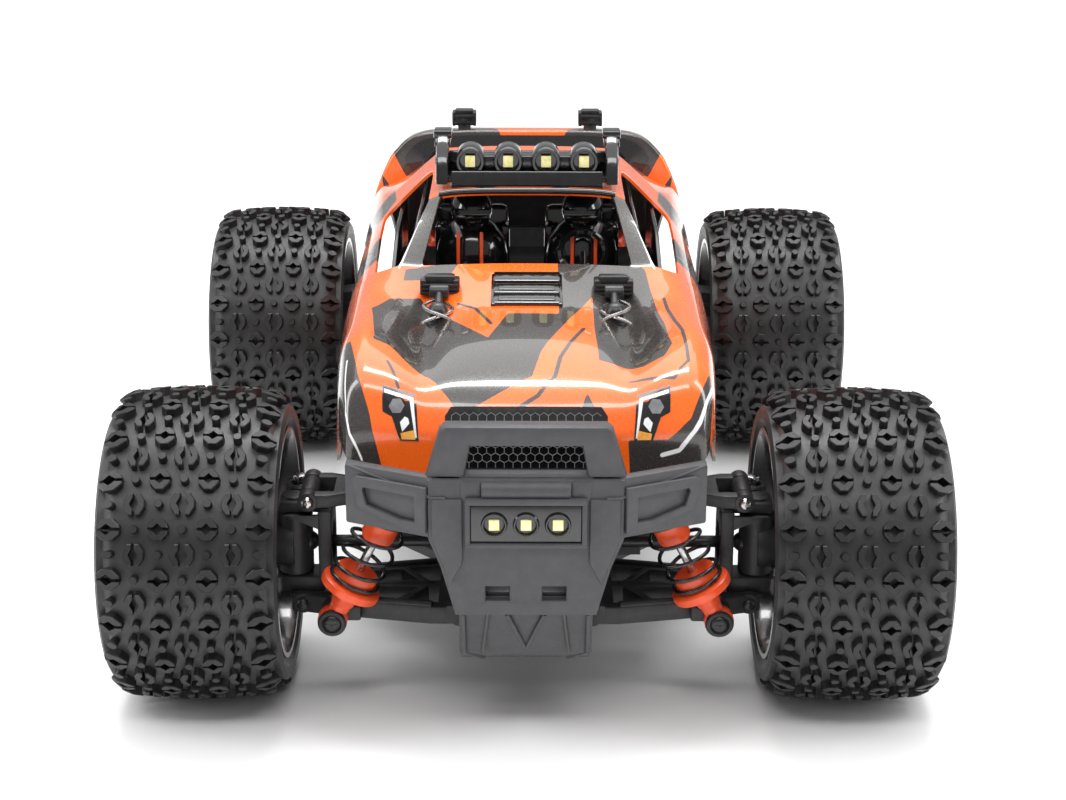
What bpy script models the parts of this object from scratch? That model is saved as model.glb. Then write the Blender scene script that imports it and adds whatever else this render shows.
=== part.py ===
"""Radio-controlled monster truck, 1/10 size, as an assembly of separate parts.

Units are metres, +Z up. The truck faces -Y and its own left side is +X. The origin is on the
ground, under the middle of the wheelbase. Each corner of the suspension is drawn once, at the
front left, and mirrored to the other three.
"""

import math

import bmesh
import bpy
from mathutils import Matrix, Vector

MM = 0.001

# ---- driving dimensions --------------------------------------------------------------------
WHEELBASE = 275 * MM
AXLE_Y = WHEELBASE / 2
AXLE_Z = 57.5 * MM
TYRE_RADIUS = 57.5 * MM
TYRE_WIDTH = 64 * MM
WHEEL_X = 118 * MM            # middle of the tread
RIM_RADIUS = 43.1 * MM
KINGPIN_X = 85 * MM
ARM_INNER_X = 24 * MM         # lower arm: inner and outer pins
ARM_OUTER_X = 82 * MM
ARM_Z = 37.5 * MM
LINK_INNER_X = 21 * MM        # upper arm: inner and outer pins
LINK_OUTER_X = 79 * MM
LINK_Z = 78 * MM
SHOCK_LOWER = (70 * MM, 36.5 * MM)
SHOCK_UPPER = (34 * MM, 107 * MM)
SHOCK_OFFSET = 22.5 * MM      # ahead of the front axle, behind the rear one
EYE_HALF = 2.4 * MM           # half the thickness of a shock eye
DRIVE_Z = 58 * MM
PIN_RADIUS = 1.5 * MM
BORE_RADIUS = 1.9 * MM
TIE_Z = 71 * MM
STEER_Y = -118 * MM           # row of the tie rods, behind the front axle
TIE_INNER_X = KINGPIN_X - (ARM_OUTER_X - ARM_INNER_X)   # as long as the arms
SAVER = (10.5 * MM, -90 * MM)
SPUR_Y = 82 * MM
SPUR_RADIUS = 18 * MM
PINION_RADIUS = 6 * MM
MOTOR_X = SPUR_RADIUS + PINION_RADIUS
MOTOR_RADIUS = 17.5 * MM
PLATE_BOTTOM = 32 * MM
PLATE_TOP = 36 * MM
SHELL_THICKNESS = 1.2 * MM
FRONT_POST = (33 * MM, -106 * MM)
REAR_POST = (29.5 * MM, 120 * MM)
POST_RADIUS = 3 * MM
ARCH_RADIUS = 62 * MM
SKIRT_Z = 62 * MM

CORNERS = {
    "front_left": (1, 1), "front_right": (-1, 1), "rear_left": (1, -1), "rear_right": (-1, -1),
}
SIDES = {"left": 1, "right": -1}
X, Y, Z = Vector((1, 0, 0)), Vector((0, 1, 0)), Vector((0, 0, 1))


def mm(*values):
    """Millimetres to metres."""
    return tuple(value * MM for value in values)


# ---- scene and materials -------------------------------------------------------------------
for leftover in list(bpy.data.objects):
    bpy.data.objects.remove(leftover, do_unlink=True)

PARTS = bpy.data.collections.new("rc_monster_truck")
bpy.context.scene.collection.children.link(PARTS)


def finish_of(name, colour, roughness, metallic=0.0):
    """A Principled material."""
    made = bpy.data.materials.new(name)
    made.use_nodes = True
    shader = made.node_tree.nodes["Principled BSDF"]
    shader.inputs["Base Color"].default_value = (*colour, 1.0)
    shader.inputs["Roughness"].default_value = roughness
    shader.inputs["Metallic"].default_value = metallic
    return made


RUBBER = finish_of("tyre_rubber", (0.035, 0.036, 0.038), 0.75)
RIM_BLACK = finish_of("rim_gloss_black", (0.01, 0.01, 0.01), 0.2)
PLASTIC = finish_of("black_nylon", (0.025, 0.025, 0.027), 0.5)
BUMPER_GREY = finish_of("bumper_grey", (0.095, 0.095, 0.105), 0.6)
ORANGE_PAINT = finish_of("orange_paint", (0.95, 0.16, 0.012), 0.2)
ORANGE_PLASTIC = finish_of("orange_plastic", (0.95, 0.13, 0.02), 0.4)
GLOSS_BLACK = finish_of("gloss_black", (0.008, 0.008, 0.008), 0.15)
STEEL = finish_of("steel", (0.6, 0.6, 0.62), 0.3, 1.0)
SPRING_BLACK = finish_of("spring_black", (0.02, 0.02, 0.02), 0.35, 0.6)
BRASS = finish_of("gear_brass", (0.7, 0.5, 0.25), 0.35, 1.0)
ALUMINIUM = finish_of("aluminium", (0.7, 0.7, 0.72), 0.35, 1.0)
BATTERY_BLUE = finish_of("battery_wrap", (0.02, 0.06, 0.2), 0.35)


# ---- shapes --------------------------------------------------------------------------------
def mesh_object(bm, name="piece"):
    """Puts a bmesh in a new object of the parts collection."""
    bmesh.ops.recalc_face_normals(bm, faces=bm.faces)
    mesh = bpy.data.meshes.new(name)
    bm.to_mesh(mesh)
    bm.free()
    made = bpy.data.objects.new(name, mesh)
    PARTS.objects.link(made)
    return made


def box(size, centre, turn=None):
    """A block of the given size, in metres, turned by a matrix about its own centre."""
    bm = bmesh.new()
    bmesh.ops.create_cube(bm, size=1)
    place = Matrix.Translation(centre) @ (turn or Matrix()) @ Matrix.Diagonal((*size, 1))
    bm.transform(place)
    return mesh_object(bm)


def rod(radius, start, end, sides=10, end_radius=None):
    """A cylinder or cone between two points."""
    start, end = Vector(start), Vector(end)
    span = end - start
    bm = bmesh.new()
    top = radius if end_radius is None else end_radius
    bmesh.ops.create_cone(
        bm, cap_ends=True, segments=sides, radius1=radius, radius2=top, depth=span.length
    )
    turn = Z.rotation_difference(span).to_matrix().to_4x4()
    bm.transform(Matrix.Translation((start + end) / 2) @ turn)
    return mesh_object(bm)


def ball(radius, centre, sides=12):
    bm = bmesh.new()
    bmesh.ops.create_uvsphere(bm, u_segments=sides, v_segments=sides // 2, radius=radius)
    bm.transform(Matrix.Translation(centre))
    return mesh_object(bm)


def evaluated_mesh(made):
    """The object's evaluated mesh, in world coordinates, welded, with flat faces joined."""
    graph = bpy.context.evaluated_depsgraph_get()
    mesh = bpy.data.meshes.new_from_object(made.evaluated_get(graph))
    mesh.transform(made.matrix_world)
    bm = bmesh.new()
    bm.from_mesh(mesh)
    bmesh.ops.remove_doubles(bm, verts=bm.verts, dist=2e-6)
    flat = math.radians(0.2)
    bmesh.ops.dissolve_limit(bm, angle_limit=flat, verts=bm.verts, edges=bm.edges)
    bmesh.ops.recalc_face_normals(bm, faces=bm.faces)
    bm.to_mesh(mesh)
    bm.free()
    return mesh


def as_mesh(made):
    """Replaces a curve, or an object with modifiers, by its plain mesh in world coordinates."""
    bpy.context.view_layer.update()
    mesh = evaluated_mesh(made)
    bpy.data.objects.remove(made, do_unlink=True)
    plain = bpy.data.objects.new("piece", mesh)
    PARTS.objects.link(plain)
    return plain


def plate(outlines, thickness, plane, centre):
    """A flat plate: closed 2D outlines in millimetres (later ones are holes).

    plane is "XY", "XZ" or "YZ"; centre is the middle of its thickness on the third axis.
    """
    curve = bpy.data.curves.new("outline", "CURVE")
    curve.dimensions = "2D"
    curve.fill_mode = "BOTH"
    curve.extrude = thickness / 2
    for outline in outlines:
        spline = curve.splines.new("POLY")
        spline.points.add(len(outline) - 1)
        for point, (across, up) in zip(spline.points, outline):
            point.co = (across * MM, up * MM, 0, 1)
        spline.use_cyclic_u = True
    turns = {
        "XY": Matrix.Translation((0, 0, centre)),
        "XZ": Matrix.Translation((0, centre, 0)) @ Matrix.Rotation(math.pi / 2, 4, "X"),
        "YZ": Matrix.Translation((centre, 0, 0))
        @ Matrix.Rotation(math.pi / 2, 4, "Z") @ Matrix.Rotation(math.pi / 2, 4, "X"),
    }
    made = bpy.data.objects.new("plate", curve)
    made.matrix_world = turns[plane]
    PARTS.objects.link(made)
    return as_mesh(made)


def turned(profile, centre, axis, steps=16):
    """A turned piece: (radius, height) points in millimetres, outer side from top to bottom."""
    bm = bmesh.new()
    points = [bm.verts.new((radius * MM, 0, height * MM)) for radius, height in profile]
    for first, second in zip(points, points[1:]):
        bm.edges.new((first, second))
    if profile[0][0] > 0:
        bm.edges.new((points[-1], points[0]))
    mesh = bpy.data.meshes.new("profile")
    bm.to_mesh(mesh)
    bm.free()
    made = bpy.data.objects.new("turned", mesh)
    screw = made.modifiers.new("Screw", "SCREW")
    screw.steps = screw.render_steps = steps
    screw.use_merge_vertices = True
    screw.merge_threshold = 1e-6
    turn = Z.rotation_difference(Vector(axis)).to_matrix().to_4x4()
    made.matrix_world = Matrix.Translation(centre) @ turn
    PARTS.objects.link(made)
    return as_mesh(made)


def wire(points, radius, sides=2):
    """A round wire along points, with flat ends."""
    curve = bpy.data.curves.new("wire", "CURVE")
    curve.dimensions = "3D"
    curve.bevel_depth = radius
    curve.bevel_resolution = sides
    curve.use_fill_caps = True
    spline = curve.splines.new("POLY")
    spline.points.add(len(points) - 1)
    for point, place in zip(spline.points, points):
        point.co = (*place, 1)
    made = bpy.data.objects.new("wire", curve)
    PARTS.objects.link(made)
    return as_mesh(made)


def fuse(pieces, cuts=()):
    """Joins the pieces to one solid and cuts the cutters out of it."""
    base, others = pieces[0], pieces[1:]
    for other in (*others, *cuts):
        modifier = base.modifiers.new("Boolean", "BOOLEAN")
        modifier.solver = "EXACT"
        modifier.operation = "DIFFERENCE" if other in cuts else "UNION"
        modifier.object = other
    made = as_mesh(base)
    for other in (*others, *cuts):
        bpy.data.objects.remove(other, do_unlink=True)
    return made


def name_part(made, name, material, origin=(0, 0, 0)):
    """Gives a finished piece its name, material and origin."""
    origin = Vector(origin)
    made.name = made.data.name = name
    made.data.transform(Matrix.Translation(-origin))
    made.location = origin
    made.data.materials.clear()
    made.data.materials.append(material)
    made.data.shade_smooth()
    made.data.set_sharp_from_angle(angle=math.radians(35))
    return made


def mirrored(made, name, flip_x, flip_y):
    """A copy of a named part, mirrored across X and/or Y."""
    mesh = made.data.copy()
    mesh.transform(Matrix.Diagonal((flip_x, flip_y, 1, 1)))
    if flip_x * flip_y < 0:
        mesh.flip_normals()
    copy = bpy.data.objects.new(name, mesh)
    mesh.name = name
    copy.location = (made.location.x * flip_x, made.location.y * flip_y, made.location.z)
    PARTS.objects.link(copy)
    return copy


def at_corners(build, stem, material, origin, corners=CORNERS):
    """Builds a part at the front left and mirrors it to the other corners."""
    first = name_part(build(), stem + "_front_left", material, origin)
    for corner, (flip_x, flip_y) in corners.items():
        if corner != "front_left":
            mirrored(first, f"{stem}_{corner}", flip_x, flip_y)


def at_sides(build, stem, material, origin, suffix=""):
    """Builds a part on the left and mirrors it to the right."""
    first = name_part(build(), f"{stem}_left{suffix}", material, origin)
    mirrored(first, f"{stem}_right{suffix}", -1, 1)


def ahead(offset):
    """World Y of a point behind (+) or ahead (-) of the front axle, from millimetres."""
    return -AXLE_Y + offset * MM


# ---- wheels --------------------------------------------------------------------------------
def tyre():
    """Hollow rubber tyre: a C section open towards the rim."""
    half = TYRE_WIDTH / MM / 2
    radius = TYRE_RADIUS / MM
    bead = RIM_RADIUS / MM + 0.5
    section = [
        (bead, half - 3), (50, half - 0.5), (radius - 1.5, half - 3), (radius, half - 8),
        (radius, 8 - half), (radius - 1.5, 3 - half), (50, 0.5 - half), (bead, 3 - half),
        (bead, 8 - half), (radius - 4, 6 - half), (radius - 4, half - 6), (bead, half - 8),
    ]
    return turned(section, (WHEEL_X, -AXLE_Y, AXLE_Z), X, steps=24)


def rim():
    """Wheel: barrel, dished disc and hub with the axle's bore."""
    outer = RIM_RADIUS / MM
    inner = outer - 2.5
    section = [
        (3.4, 18), (9, 18), (9, 15), (inner, 15), (inner, 30), (outer, 30),
        (outer, -30), (inner, -30), (inner, 11), (10, 11), (10, -6), (3.4, -6),
    ]
    return turned(section, (WHEEL_X, -AXLE_Y, AXLE_Z), X, steps=18)


# ---- suspension ----------------------------------------------------------------------------
def shock_screw(place, boss_radius, root_y):
    """Boss, stud and screw head that hold one eye of a shock, at (x, z), from root_y forwards."""
    x, z = place
    eye_y = -AXLE_Y - SHOCK_OFFSET
    back, front = eye_y + EYE_HALF + 0.4 * MM, eye_y - EYE_HALF - 0.5 * MM
    return [
        rod(boss_radius, (x, back, z), (x, root_y, z)),
        rod(PIN_RADIUS, (x, front - 1 * MM, z), (x, root_y - 2 * MM, z), 6),
        rod(3.5 * MM, (x, front - 2.6 * MM, z), (x, front, z)),
    ]


def lower_arm():
    """Trussed lower arm with a forked outer end and the shock's stud."""
    axle = -AXLE_Y / MM
    body = plate(
        [
            [(22, axle - 21.5), (34, axle - 21.5), (72, axle - 14), (86, axle - 10), (86, axle - 6.9),
             (72, axle - 6.9), (72, axle + 6.9), (86, axle + 6.9), (86, axle + 10), (72, axle + 13),
             (34, axle + 21.5), (22, axle + 21.5)],
            [(33, axle - 14), (62, axle - 8), (68, axle), (62, axle + 8), (33, axle + 14)],
        ],
        7 * MM, "XY", ARM_Z,
    )
    barrel = rod(4 * MM, (ARM_INNER_X, ahead(-22), ARM_Z), (ARM_INNER_X, ahead(22), ARM_Z))
    screw = shock_screw(SHOCK_LOWER, 5 * MM, ahead(-9))
    pin = rod(PIN_RADIUS, (ARM_OUTER_X, ahead(-11), ARM_Z), (ARM_OUTER_X, ahead(11), ARM_Z), 6)
    bore = rod(BORE_RADIUS, (ARM_INNER_X, ahead(-25), ARM_Z), (ARM_INNER_X, ahead(25), ARM_Z), 6)
    return fuse([body, barrel, *screw, pin], [bore])


def upper_arm():
    """Narrow upper arm with a forked outer end."""
    axle = -AXLE_Y / MM
    body = plate(
        [[(20, axle - 7), (60, axle - 7), (72, axle - 12), (82, axle - 12), (82, axle - 6.9),
          (70, axle - 6.9), (70, axle + 6.9), (82, axle + 6.9), (82, axle + 12), (72, axle + 12),
          (60, axle + 7), (20, axle + 7)]],
        5 * MM, "XY", LINK_Z,
    )
    barrel = rod(3.5 * MM, (LINK_INNER_X, ahead(-7), LINK_Z), (LINK_INNER_X, ahead(7), LINK_Z))
    pin = rod(PIN_RADIUS, (LINK_OUTER_X, ahead(-13), LINK_Z), (LINK_OUTER_X, ahead(13), LINK_Z), 6)
    bore = rod(BORE_RADIUS, (LINK_INNER_X, ahead(-9), LINK_Z), (LINK_INNER_X, ahead(9), LINK_Z), 6)
    return fuse([body, barrel, pin], [bore])


def upright_lugs():
    """The eyes that ride on the outer pins of both arms, and their bores."""
    lower = rod(4 * MM, (ARM_OUTER_X, ahead(-6.5), ARM_Z), (ARM_OUTER_X, ahead(6.5), ARM_Z))
    upper = rod(3.5 * MM, (LINK_OUTER_X, ahead(-6.5), LINK_Z), (LINK_OUTER_X, ahead(6.5), LINK_Z))
    bores = [
        rod(BORE_RADIUS, (ARM_OUTER_X, ahead(-9), ARM_Z), (ARM_OUTER_X, ahead(9), ARM_Z), 6),
        rod(BORE_RADIUS, (LINK_OUTER_X, ahead(-9), LINK_Z), (LINK_OUTER_X, ahead(9), LINK_Z), 6),
    ]
    return [lower, upper], bores


def caster_block():
    """C-hub: a spine with an ear above and below the knuckle."""
    lugs, bores = upright_lugs()
    spine = box(mm(5, 20, 27.4), (73.3 * MM, -AXLE_Y, 59.6 * MM))
    ears = [
        box(mm(18, 13, 4), (81 * MM, -AXLE_Y, 73.5 * MM)),
        box(mm(16, 13, 6), (82 * MM, -AXLE_Y, 43.1 * MM)),
    ]
    shaft_hole = rod(8 * MM, (70 * MM, -AXLE_Y, DRIVE_Z), (80 * MM, -AXLE_Y, DRIVE_Z), 12)
    pin_holes = rod(2 * MM, (KINGPIN_X, -AXLE_Y, 41.6 * MM), (KINGPIN_X, -AXLE_Y, 76.5 * MM), 6)
    return fuse([spine, *ears, *lugs], [shaft_hole, pin_holes, *bores])


def axle_stub():
    """Hub barrel, stub axle and the wheel's hex and nut."""
    return [
        rod(9 * MM, (KINGPIN_X, -AXLE_Y, AXLE_Z), (104 * MM, -AXLE_Y, AXLE_Z), 12),
        rod(3 * MM, (100 * MM, -AXLE_Y, AXLE_Z), (146 * MM, -AXLE_Y, AXLE_Z), 8),
        rod(6 * MM, (138.5 * MM, -AXLE_Y, AXLE_Z), (143 * MM, -AXLE_Y, AXLE_Z), 6),
    ]


def steering_knuckle():
    """Knuckle: turns on the kingpin, and carries the stub axle and the steering arm."""
    post = rod(6.5 * MM, (KINGPIN_X, -AXLE_Y, 46.2 * MM), (KINGPIN_X, -AXLE_Y, 70.8 * MM), 10)
    axle = -AXLE_Y / MM
    steer = STEER_Y / MM
    arm = plate([[(80, axle), (90, axle), (88.5, steer + 3.5), (81.5, steer + 3.5)]], 3.8 * MM, "XY", 65.4 * MM)
    stud = rod(1.3 * MM, (KINGPIN_X, STEER_Y, 66 * MM), (KINGPIN_X, STEER_Y, 76 * MM), 6)
    socket = rod(6 * MM, (74 * MM, -AXLE_Y, DRIVE_Z), (88.5 * MM, -AXLE_Y, DRIVE_Z), 12)
    made = fuse([post, *axle_stub(), arm], [socket])
    lower_pin = rod(PIN_RADIUS, (KINGPIN_X, -AXLE_Y, 41.8 * MM), (KINGPIN_X, -AXLE_Y, 50 * MM), 6)
    upper_pin = rod(PIN_RADIUS, (KINGPIN_X, -AXLE_Y, 66 * MM), (KINGPIN_X, -AXLE_Y, 75.4 * MM), 6)
    return fuse([made, lower_pin, upper_pin, stud])


def hub_carrier():
    """Rear upright: one piece that carries the stub axle."""
    lugs, bores = upright_lugs()
    block = box(mm(20, 13, 38), (84 * MM, -AXLE_Y, 58.5 * MM))
    socket = rod(5.6 * MM, (70 * MM, -AXLE_Y, DRIVE_Z), (88.5 * MM, -AXLE_Y, DRIVE_Z), 12)
    return fuse([block, *axle_stub(), *lugs], [socket, *bores])


def drive_shaft():
    """Dog-bone from the differential's cup to the axle's cup."""
    shaft = rod(2.2 * MM, (18 * MM, -AXLE_Y, DRIVE_Z), (80 * MM, -AXLE_Y, DRIVE_Z), 8)
    ends = [
        ball(3.8 * MM, (18 * MM, -AXLE_Y, DRIVE_Z), 8),
        ball(3.8 * MM, (80 * MM, -AXLE_Y, DRIVE_Z), 8),
    ]
    return fuse([shaft, *ends])


def tie_rod():
    """Tie rod with an eye at each end; the outer eye has room round the knuckle's stud."""
    inner = (TIE_INNER_X, STEER_Y)
    outer = (KINGPIN_X, STEER_Y)
    link = rod(2 * MM, (inner[0] + 3 * MM, inner[1], TIE_Z), (outer[0] - 4 * MM, outer[1], TIE_Z), 6)
    eyes = [
        rod(4.2 * MM, (*inner, TIE_Z - 2.5 * MM), (*inner, TIE_Z + 2.5 * MM)),
        rod(5.2 * MM, (*outer, TIE_Z - 2.5 * MM), (*outer, TIE_Z + 2.5 * MM)),
    ]
    bores = [
        rod(2.2 * MM, (*inner, TIE_Z - 5 * MM), (*inner, TIE_Z + 5 * MM)),
        rod(3.3 * MM, (*outer, TIE_Z - 5 * MM), (*outer, TIE_Z + 5 * MM)),
    ]
    return fuse([link, *eyes], bores)


# ---- shock absorbers -----------------------------------------------------------------------
SHOCK_FOOT = Vector((SHOCK_LOWER[0], -AXLE_Y - SHOCK_OFFSET, SHOCK_LOWER[1]))
SHOCK_HEAD = Vector((SHOCK_UPPER[0], -AXLE_Y - SHOCK_OFFSET, SHOCK_UPPER[1]))
SHOCK_LENGTH = (SHOCK_HEAD - SHOCK_FOOT).length
SHOCK_AXIS = (SHOCK_HEAD - SHOCK_FOOT).normalized()


def eye(centre, radius, bore, reach):
    """Solid and cutter of an eye across Y."""
    solid = rod(radius, centre - Y * EYE_HALF, centre + Y * EYE_HALF)
    neck = rod(2.2 * MM, centre + SHOCK_AXIS * (2.5 * MM), centre + SHOCK_AXIS * reach, 10)
    cutter = rod(bore, centre - Y * 5 * MM, centre + Y * 5 * MM, 10)
    return [solid, neck], cutter


def shock_body():
    """Oil cylinder with a spring perch and the upper eye."""
    top = SHOCK_LENGTH / MM
    solid = turned(
        [(0, top - 4), (6, top - 5), (6, 64), (10.5, 64), (10.5, 60.5), (6, 60.5), (6, 34), (1.9, 34),
         (1.9, 70), (0, 70)],
        SHOCK_FOOT, SHOCK_AXIS, 10,
    )
    pieces, cutter = eye(SHOCK_HEAD, 5 * MM, BORE_RADIUS, -6 * MM)
    return fuse([solid, *pieces], [cutter])


def shock_shaft():
    """Shaft with the lower spring cup and the lower eye, which has room round its stud."""
    solid = turned(
        [(0, 58), (1.5, 58), (1.5, 22), (7.8, 22), (7.8, 16.5), (11, 16.5), (11, 13), (4, 13), (4, 6), (0, 6)],
        SHOCK_FOOT, SHOCK_AXIS, 10,
    )
    pieces, cutter = eye(SHOCK_FOOT, 5 * MM, 2.6 * MM, 8 * MM)
    return fuse([solid, *pieces], [cutter])


def spring():
    """The coil's outer shape as a tube."""
    section = [(8.3, 60.2), (9.7, 60.2), (9.7, 16.8), (8.3, 16.8)]
    return turned(section, SHOCK_FOOT, SHOCK_AXIS, 10)


# ---- chassis and drive train ---------------------------------------------------------------
def chassis_plate():
    """Flat main plate, wide in the middle and narrow between the arms."""
    half = [(18, -165), (18, -115), (52, -78), (52, 78), (18, 115), (18, 165)]
    outline = half + [(-across, along) for across, along in reversed(half)]
    slots = [
        [(-44, -60), (-38, -60), (-38, -20), (-44, -20)],
        [(38, 20), (44, 20), (44, 60), (38, 60)],
    ]
    middle = (PLATE_BOTTOM + PLATE_TOP) / 2
    return plate([outline, *slots], PLATE_TOP - PLATE_BOTTOM, "XY", middle)


def gearbox():
    """Gearbox with cups for both drive shafts, hinge blocks for the arms and a bulkhead."""
    axle = -AXLE_Y / MM
    case = plate(
        [[(16, axle - 14), (12, axle - 18), (-12, axle - 18), (-16, axle - 14), (-16, axle + 16),
          (-12, axle + 18), (12, axle + 18), (16, axle + 16)]],
        27.7 * MM, "XY", 50.15 * MM,
    )
    outdrive = rod(9 * MM, (-20.5 * MM, -AXLE_Y, DRIVE_Z), (20.5 * MM, -AXLE_Y, DRIVE_Z), 14)
    nose = rod(5 * MM, (0, ahead(15), DRIVE_Z), (0, ahead(18.6), DRIVE_Z), 10)
    bulkhead = box(mm(24, 22, 20.5), (0, -AXLE_Y, 74 * MM))
    pieces = [case, outdrive, nose, bulkhead]
    cuts = []
    for side in (1, -1):
        cuts.append(rod(6.6 * MM, (side * 9.5 * MM, -AXLE_Y, DRIVE_Z), (side * 24 * MM, -AXLE_Y, DRIVE_Z), 12))
        hinge_x, link_x = side * ARM_INNER_X, side * LINK_INNER_X
        pieces.append(rod(PIN_RADIUS, (hinge_x, ahead(-26), ARM_Z), (hinge_x, ahead(26), ARM_Z), 6))
        pieces.append(rod(PIN_RADIUS, (link_x, ahead(-10), LINK_Z), (link_x, ahead(10), LINK_Z), 6))
        for end in (-1, 1):
            pieces.append(box(mm(12, 3.4, 7), (side * 22.5 * MM, ahead(end * 24.2), 39.9 * MM)))
            pieces.append(box(mm(14, 3.4, 7), (side * 18 * MM, ahead(end * 9), LINK_Z)))
    for end in (-1, 1):
        pieces.append(box(mm(36, 10, 5), (0, ahead(end * 21), 39 * MM)))
    return pieces, cuts


def front_gearbox():
    pieces, cuts = gearbox()
    return fuse(pieces, cuts)


def tower_pieces():
    """Shock tower plate with the upper screws of both shocks."""
    half = [(0, 66.6), (13, 66.6), (14, 84), (26, 92), (38, 98), (41, 106),
            (39, 114), (30, 117), (20, 104), (0, 104)]
    outline = half + [(-across, up) for across, up in reversed(half) if across > 0]
    pieces = [plate([outline], 4 * MM, "XZ", ahead(-13.5))]
    for side in (1, -1):
        pieces += shock_screw((side * SHOCK_UPPER[0], SHOCK_UPPER[1]), 3.6 * MM, ahead(-14))
    return pieces


def body_post(side, place, arm_z, top_z, tower_y):
    """A post on an arm that reaches from the shock tower, with a cross hole for the clip."""
    across, along = side * place[0], place[1]
    middle = (tower_y + along) / 2
    reach = abs(tower_y - along) + 5 * MM
    arm = box((7 * MM, reach, 5 * MM), (across, middle, arm_z))
    stem = rod(POST_RADIUS, (across, along, arm_z - 2 * MM), (across, along, top_z), 12)
    hole_z = top_z - 3.5 * MM
    hole = rod(1.1 * MM, (across, along - 6 * MM, hole_z), (across, along + 6 * MM, hole_z), 6)
    return [arm, stem], hole


def front_shock_tower():
    pieces, cuts = tower_pieces(), []
    for side in (1, -1):
        post, hole = body_post(side, FRONT_POST, 112 * MM, 139 * MM, ahead(-12))
        pieces += post
        cuts.append(hole)
    return fuse(pieces, cuts)


def rear_gearbox():
    """Rear gearbox, its shock tower and the rear body posts, in one moulding."""
    pieces, cuts = gearbox()
    pieces += tower_pieces()
    web = box(mm(18, 3, 9), (0, ahead(-11.2), 77 * MM))
    pieces.append(web)
    for side in (1, -1):
        place = (REAR_POST[0], -REAR_POST[1])
        post, hole = body_post(side, place, 112 * MM, 165.5 * MM, ahead(-12))
        pieces += post
        cuts.append(hole)
    made = fuse(pieces, cuts)
    made.data.transform(Matrix.Diagonal((1, -1, 1, 1)))
    made.data.flip_normals()
    return made


def gear(teeth, outer, root, bore, centre, width):
    """Spur gear about a Y axis: straight-sided teeth on a disc."""
    profile = []
    for tooth in range(teeth):
        start = 2 * math.pi * tooth / teeth
        pitch = 2 * math.pi / teeth
        for share, radius in ((-0.28, root), (-0.12, outer), (0.12, outer), (0.28, root)):
            angle = start + share * pitch
            profile.append((
                (centre[0] + radius * math.sin(angle)) / MM, (centre[2] + radius * math.cos(angle)) / MM
            ))
    disc = plate([profile], width, "XZ", centre[1])
    hole = rod(bore, Vector(centre) - Y * width, Vector(centre) + Y * width, 10)
    return fuse([disc], [hole])


def spur_gear():
    return gear(24, SPUR_RADIUS + 0.7 * MM, SPUR_RADIUS - 1.2 * MM, 2.9 * MM, (0, SPUR_Y, DRIVE_Z), 7 * MM)


def pinion_gear():
    """Eight teeth; its first gap faces the spur gear, so the two mesh at rest."""
    made = gear(8, PINION_RADIUS + 0.6 * MM, PINION_RADIUS - 1.3 * MM, 2 * MM, (0, SPUR_Y, 0), 7 * MM)
    half_pitch = Matrix.Rotation(math.pi / 8, 4, "Y")
    made.data.transform(Matrix.Translation((MOTOR_X, 0, DRIVE_Z)) @ half_pitch)
    return made


def center_shaft():
    end = AXLE_Y - 19 * MM
    return rod(2.5 * MM, (0, -end, DRIVE_Z), (0, end, DRIVE_Z), 10)


def motor():
    """Can, end bell and output shaft."""
    return fuse([
        rod(MOTOR_RADIUS, (MOTOR_X, 22 * MM, DRIVE_Z), (MOTOR_X, 68 * MM, DRIVE_Z), 16),
        rod(11 * MM, (MOTOR_X, 67 * MM, DRIVE_Z), (MOTOR_X, 71 * MM, DRIVE_Z), 10),
        rod(PIN_RADIUS, (MOTOR_X, 70 * MM, DRIVE_Z), (MOTOR_X, 87 * MM, DRIVE_Z), 6),
        rod(7 * MM, (MOTOR_X, 17 * MM, DRIVE_Z), (MOTOR_X, 23 * MM, DRIVE_Z), 12),
        box(mm(30, 6, 5), (MOTOR_X, 45 * MM, 38.9 * MM)),
        box(mm(30, 6, 5), (MOTOR_X, 28 * MM, 38.9 * MM)),
    ])


def battery_pack():
    return rounded_box(mm(38, 134, 25), mm(-30, -7, 49), 3 * MM)


def rounded_box(size, centre, radius):
    """A block with bevelled edges."""
    made = box(size, centre)
    bevel = made.modifiers.new("Bevel", "BEVEL")
    bevel.width = radius
    bevel.segments = 1
    return as_mesh(made)


def speed_controller():
    """Case with cooling fins."""
    pieces = [box(mm(34, 56, 17), mm(29, -33, 45))]
    for fin in range(5):
        pieces.append(box(mm(30, 3, 6), mm(29, -53 + fin * 10, 56)))
    return fuse(pieces)


def steering_servo():
    """Servo with mounting ears; its splined shaft carries the servo saver."""
    shaft_x, shaft_y = SAVER
    return fuse([
        box(mm(40, 20, 32), (shaft_x + 14 * MM, shaft_y, 52.5 * MM)),
        box(mm(46, 18, 3), (shaft_x + 17 * MM, shaft_y, 59 * MM)),
        rod(7 * MM, (shaft_x, shaft_y, 60 * MM), (shaft_x, shaft_y, 71 * MM), 12),
        rod(2.5 * MM, (shaft_x, shaft_y, 69 * MM), (shaft_x, shaft_y, 77 * MM), 10),
    ])


def servo_saver():
    """Horn on the servo's shaft; its drop pin moves the centre link."""
    x, y = SAVER[0] / MM, SAVER[1] / MM
    steer = STEER_Y / MM
    horn = plate([[(x - 7, y + 6), (x + 7, y + 6), (x + 3.4, steer - 3), (x - 3.4, steer - 3)]], 3 * MM, "XY", 73.2 * MM)
    hub = rod(8 * MM, (*SAVER, 71.7 * MM), (*SAVER, 76 * MM), 14)
    pin = rod(1.3 * MM, (SAVER[0], STEER_Y, 64.6 * MM), (SAVER[0], STEER_Y, 73 * MM), 6)
    hole = rod(2.9 * MM, (*SAVER, 70 * MM), (*SAVER, 79 * MM), 10)
    return fuse([horn, hub, pin], [hole])


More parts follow.
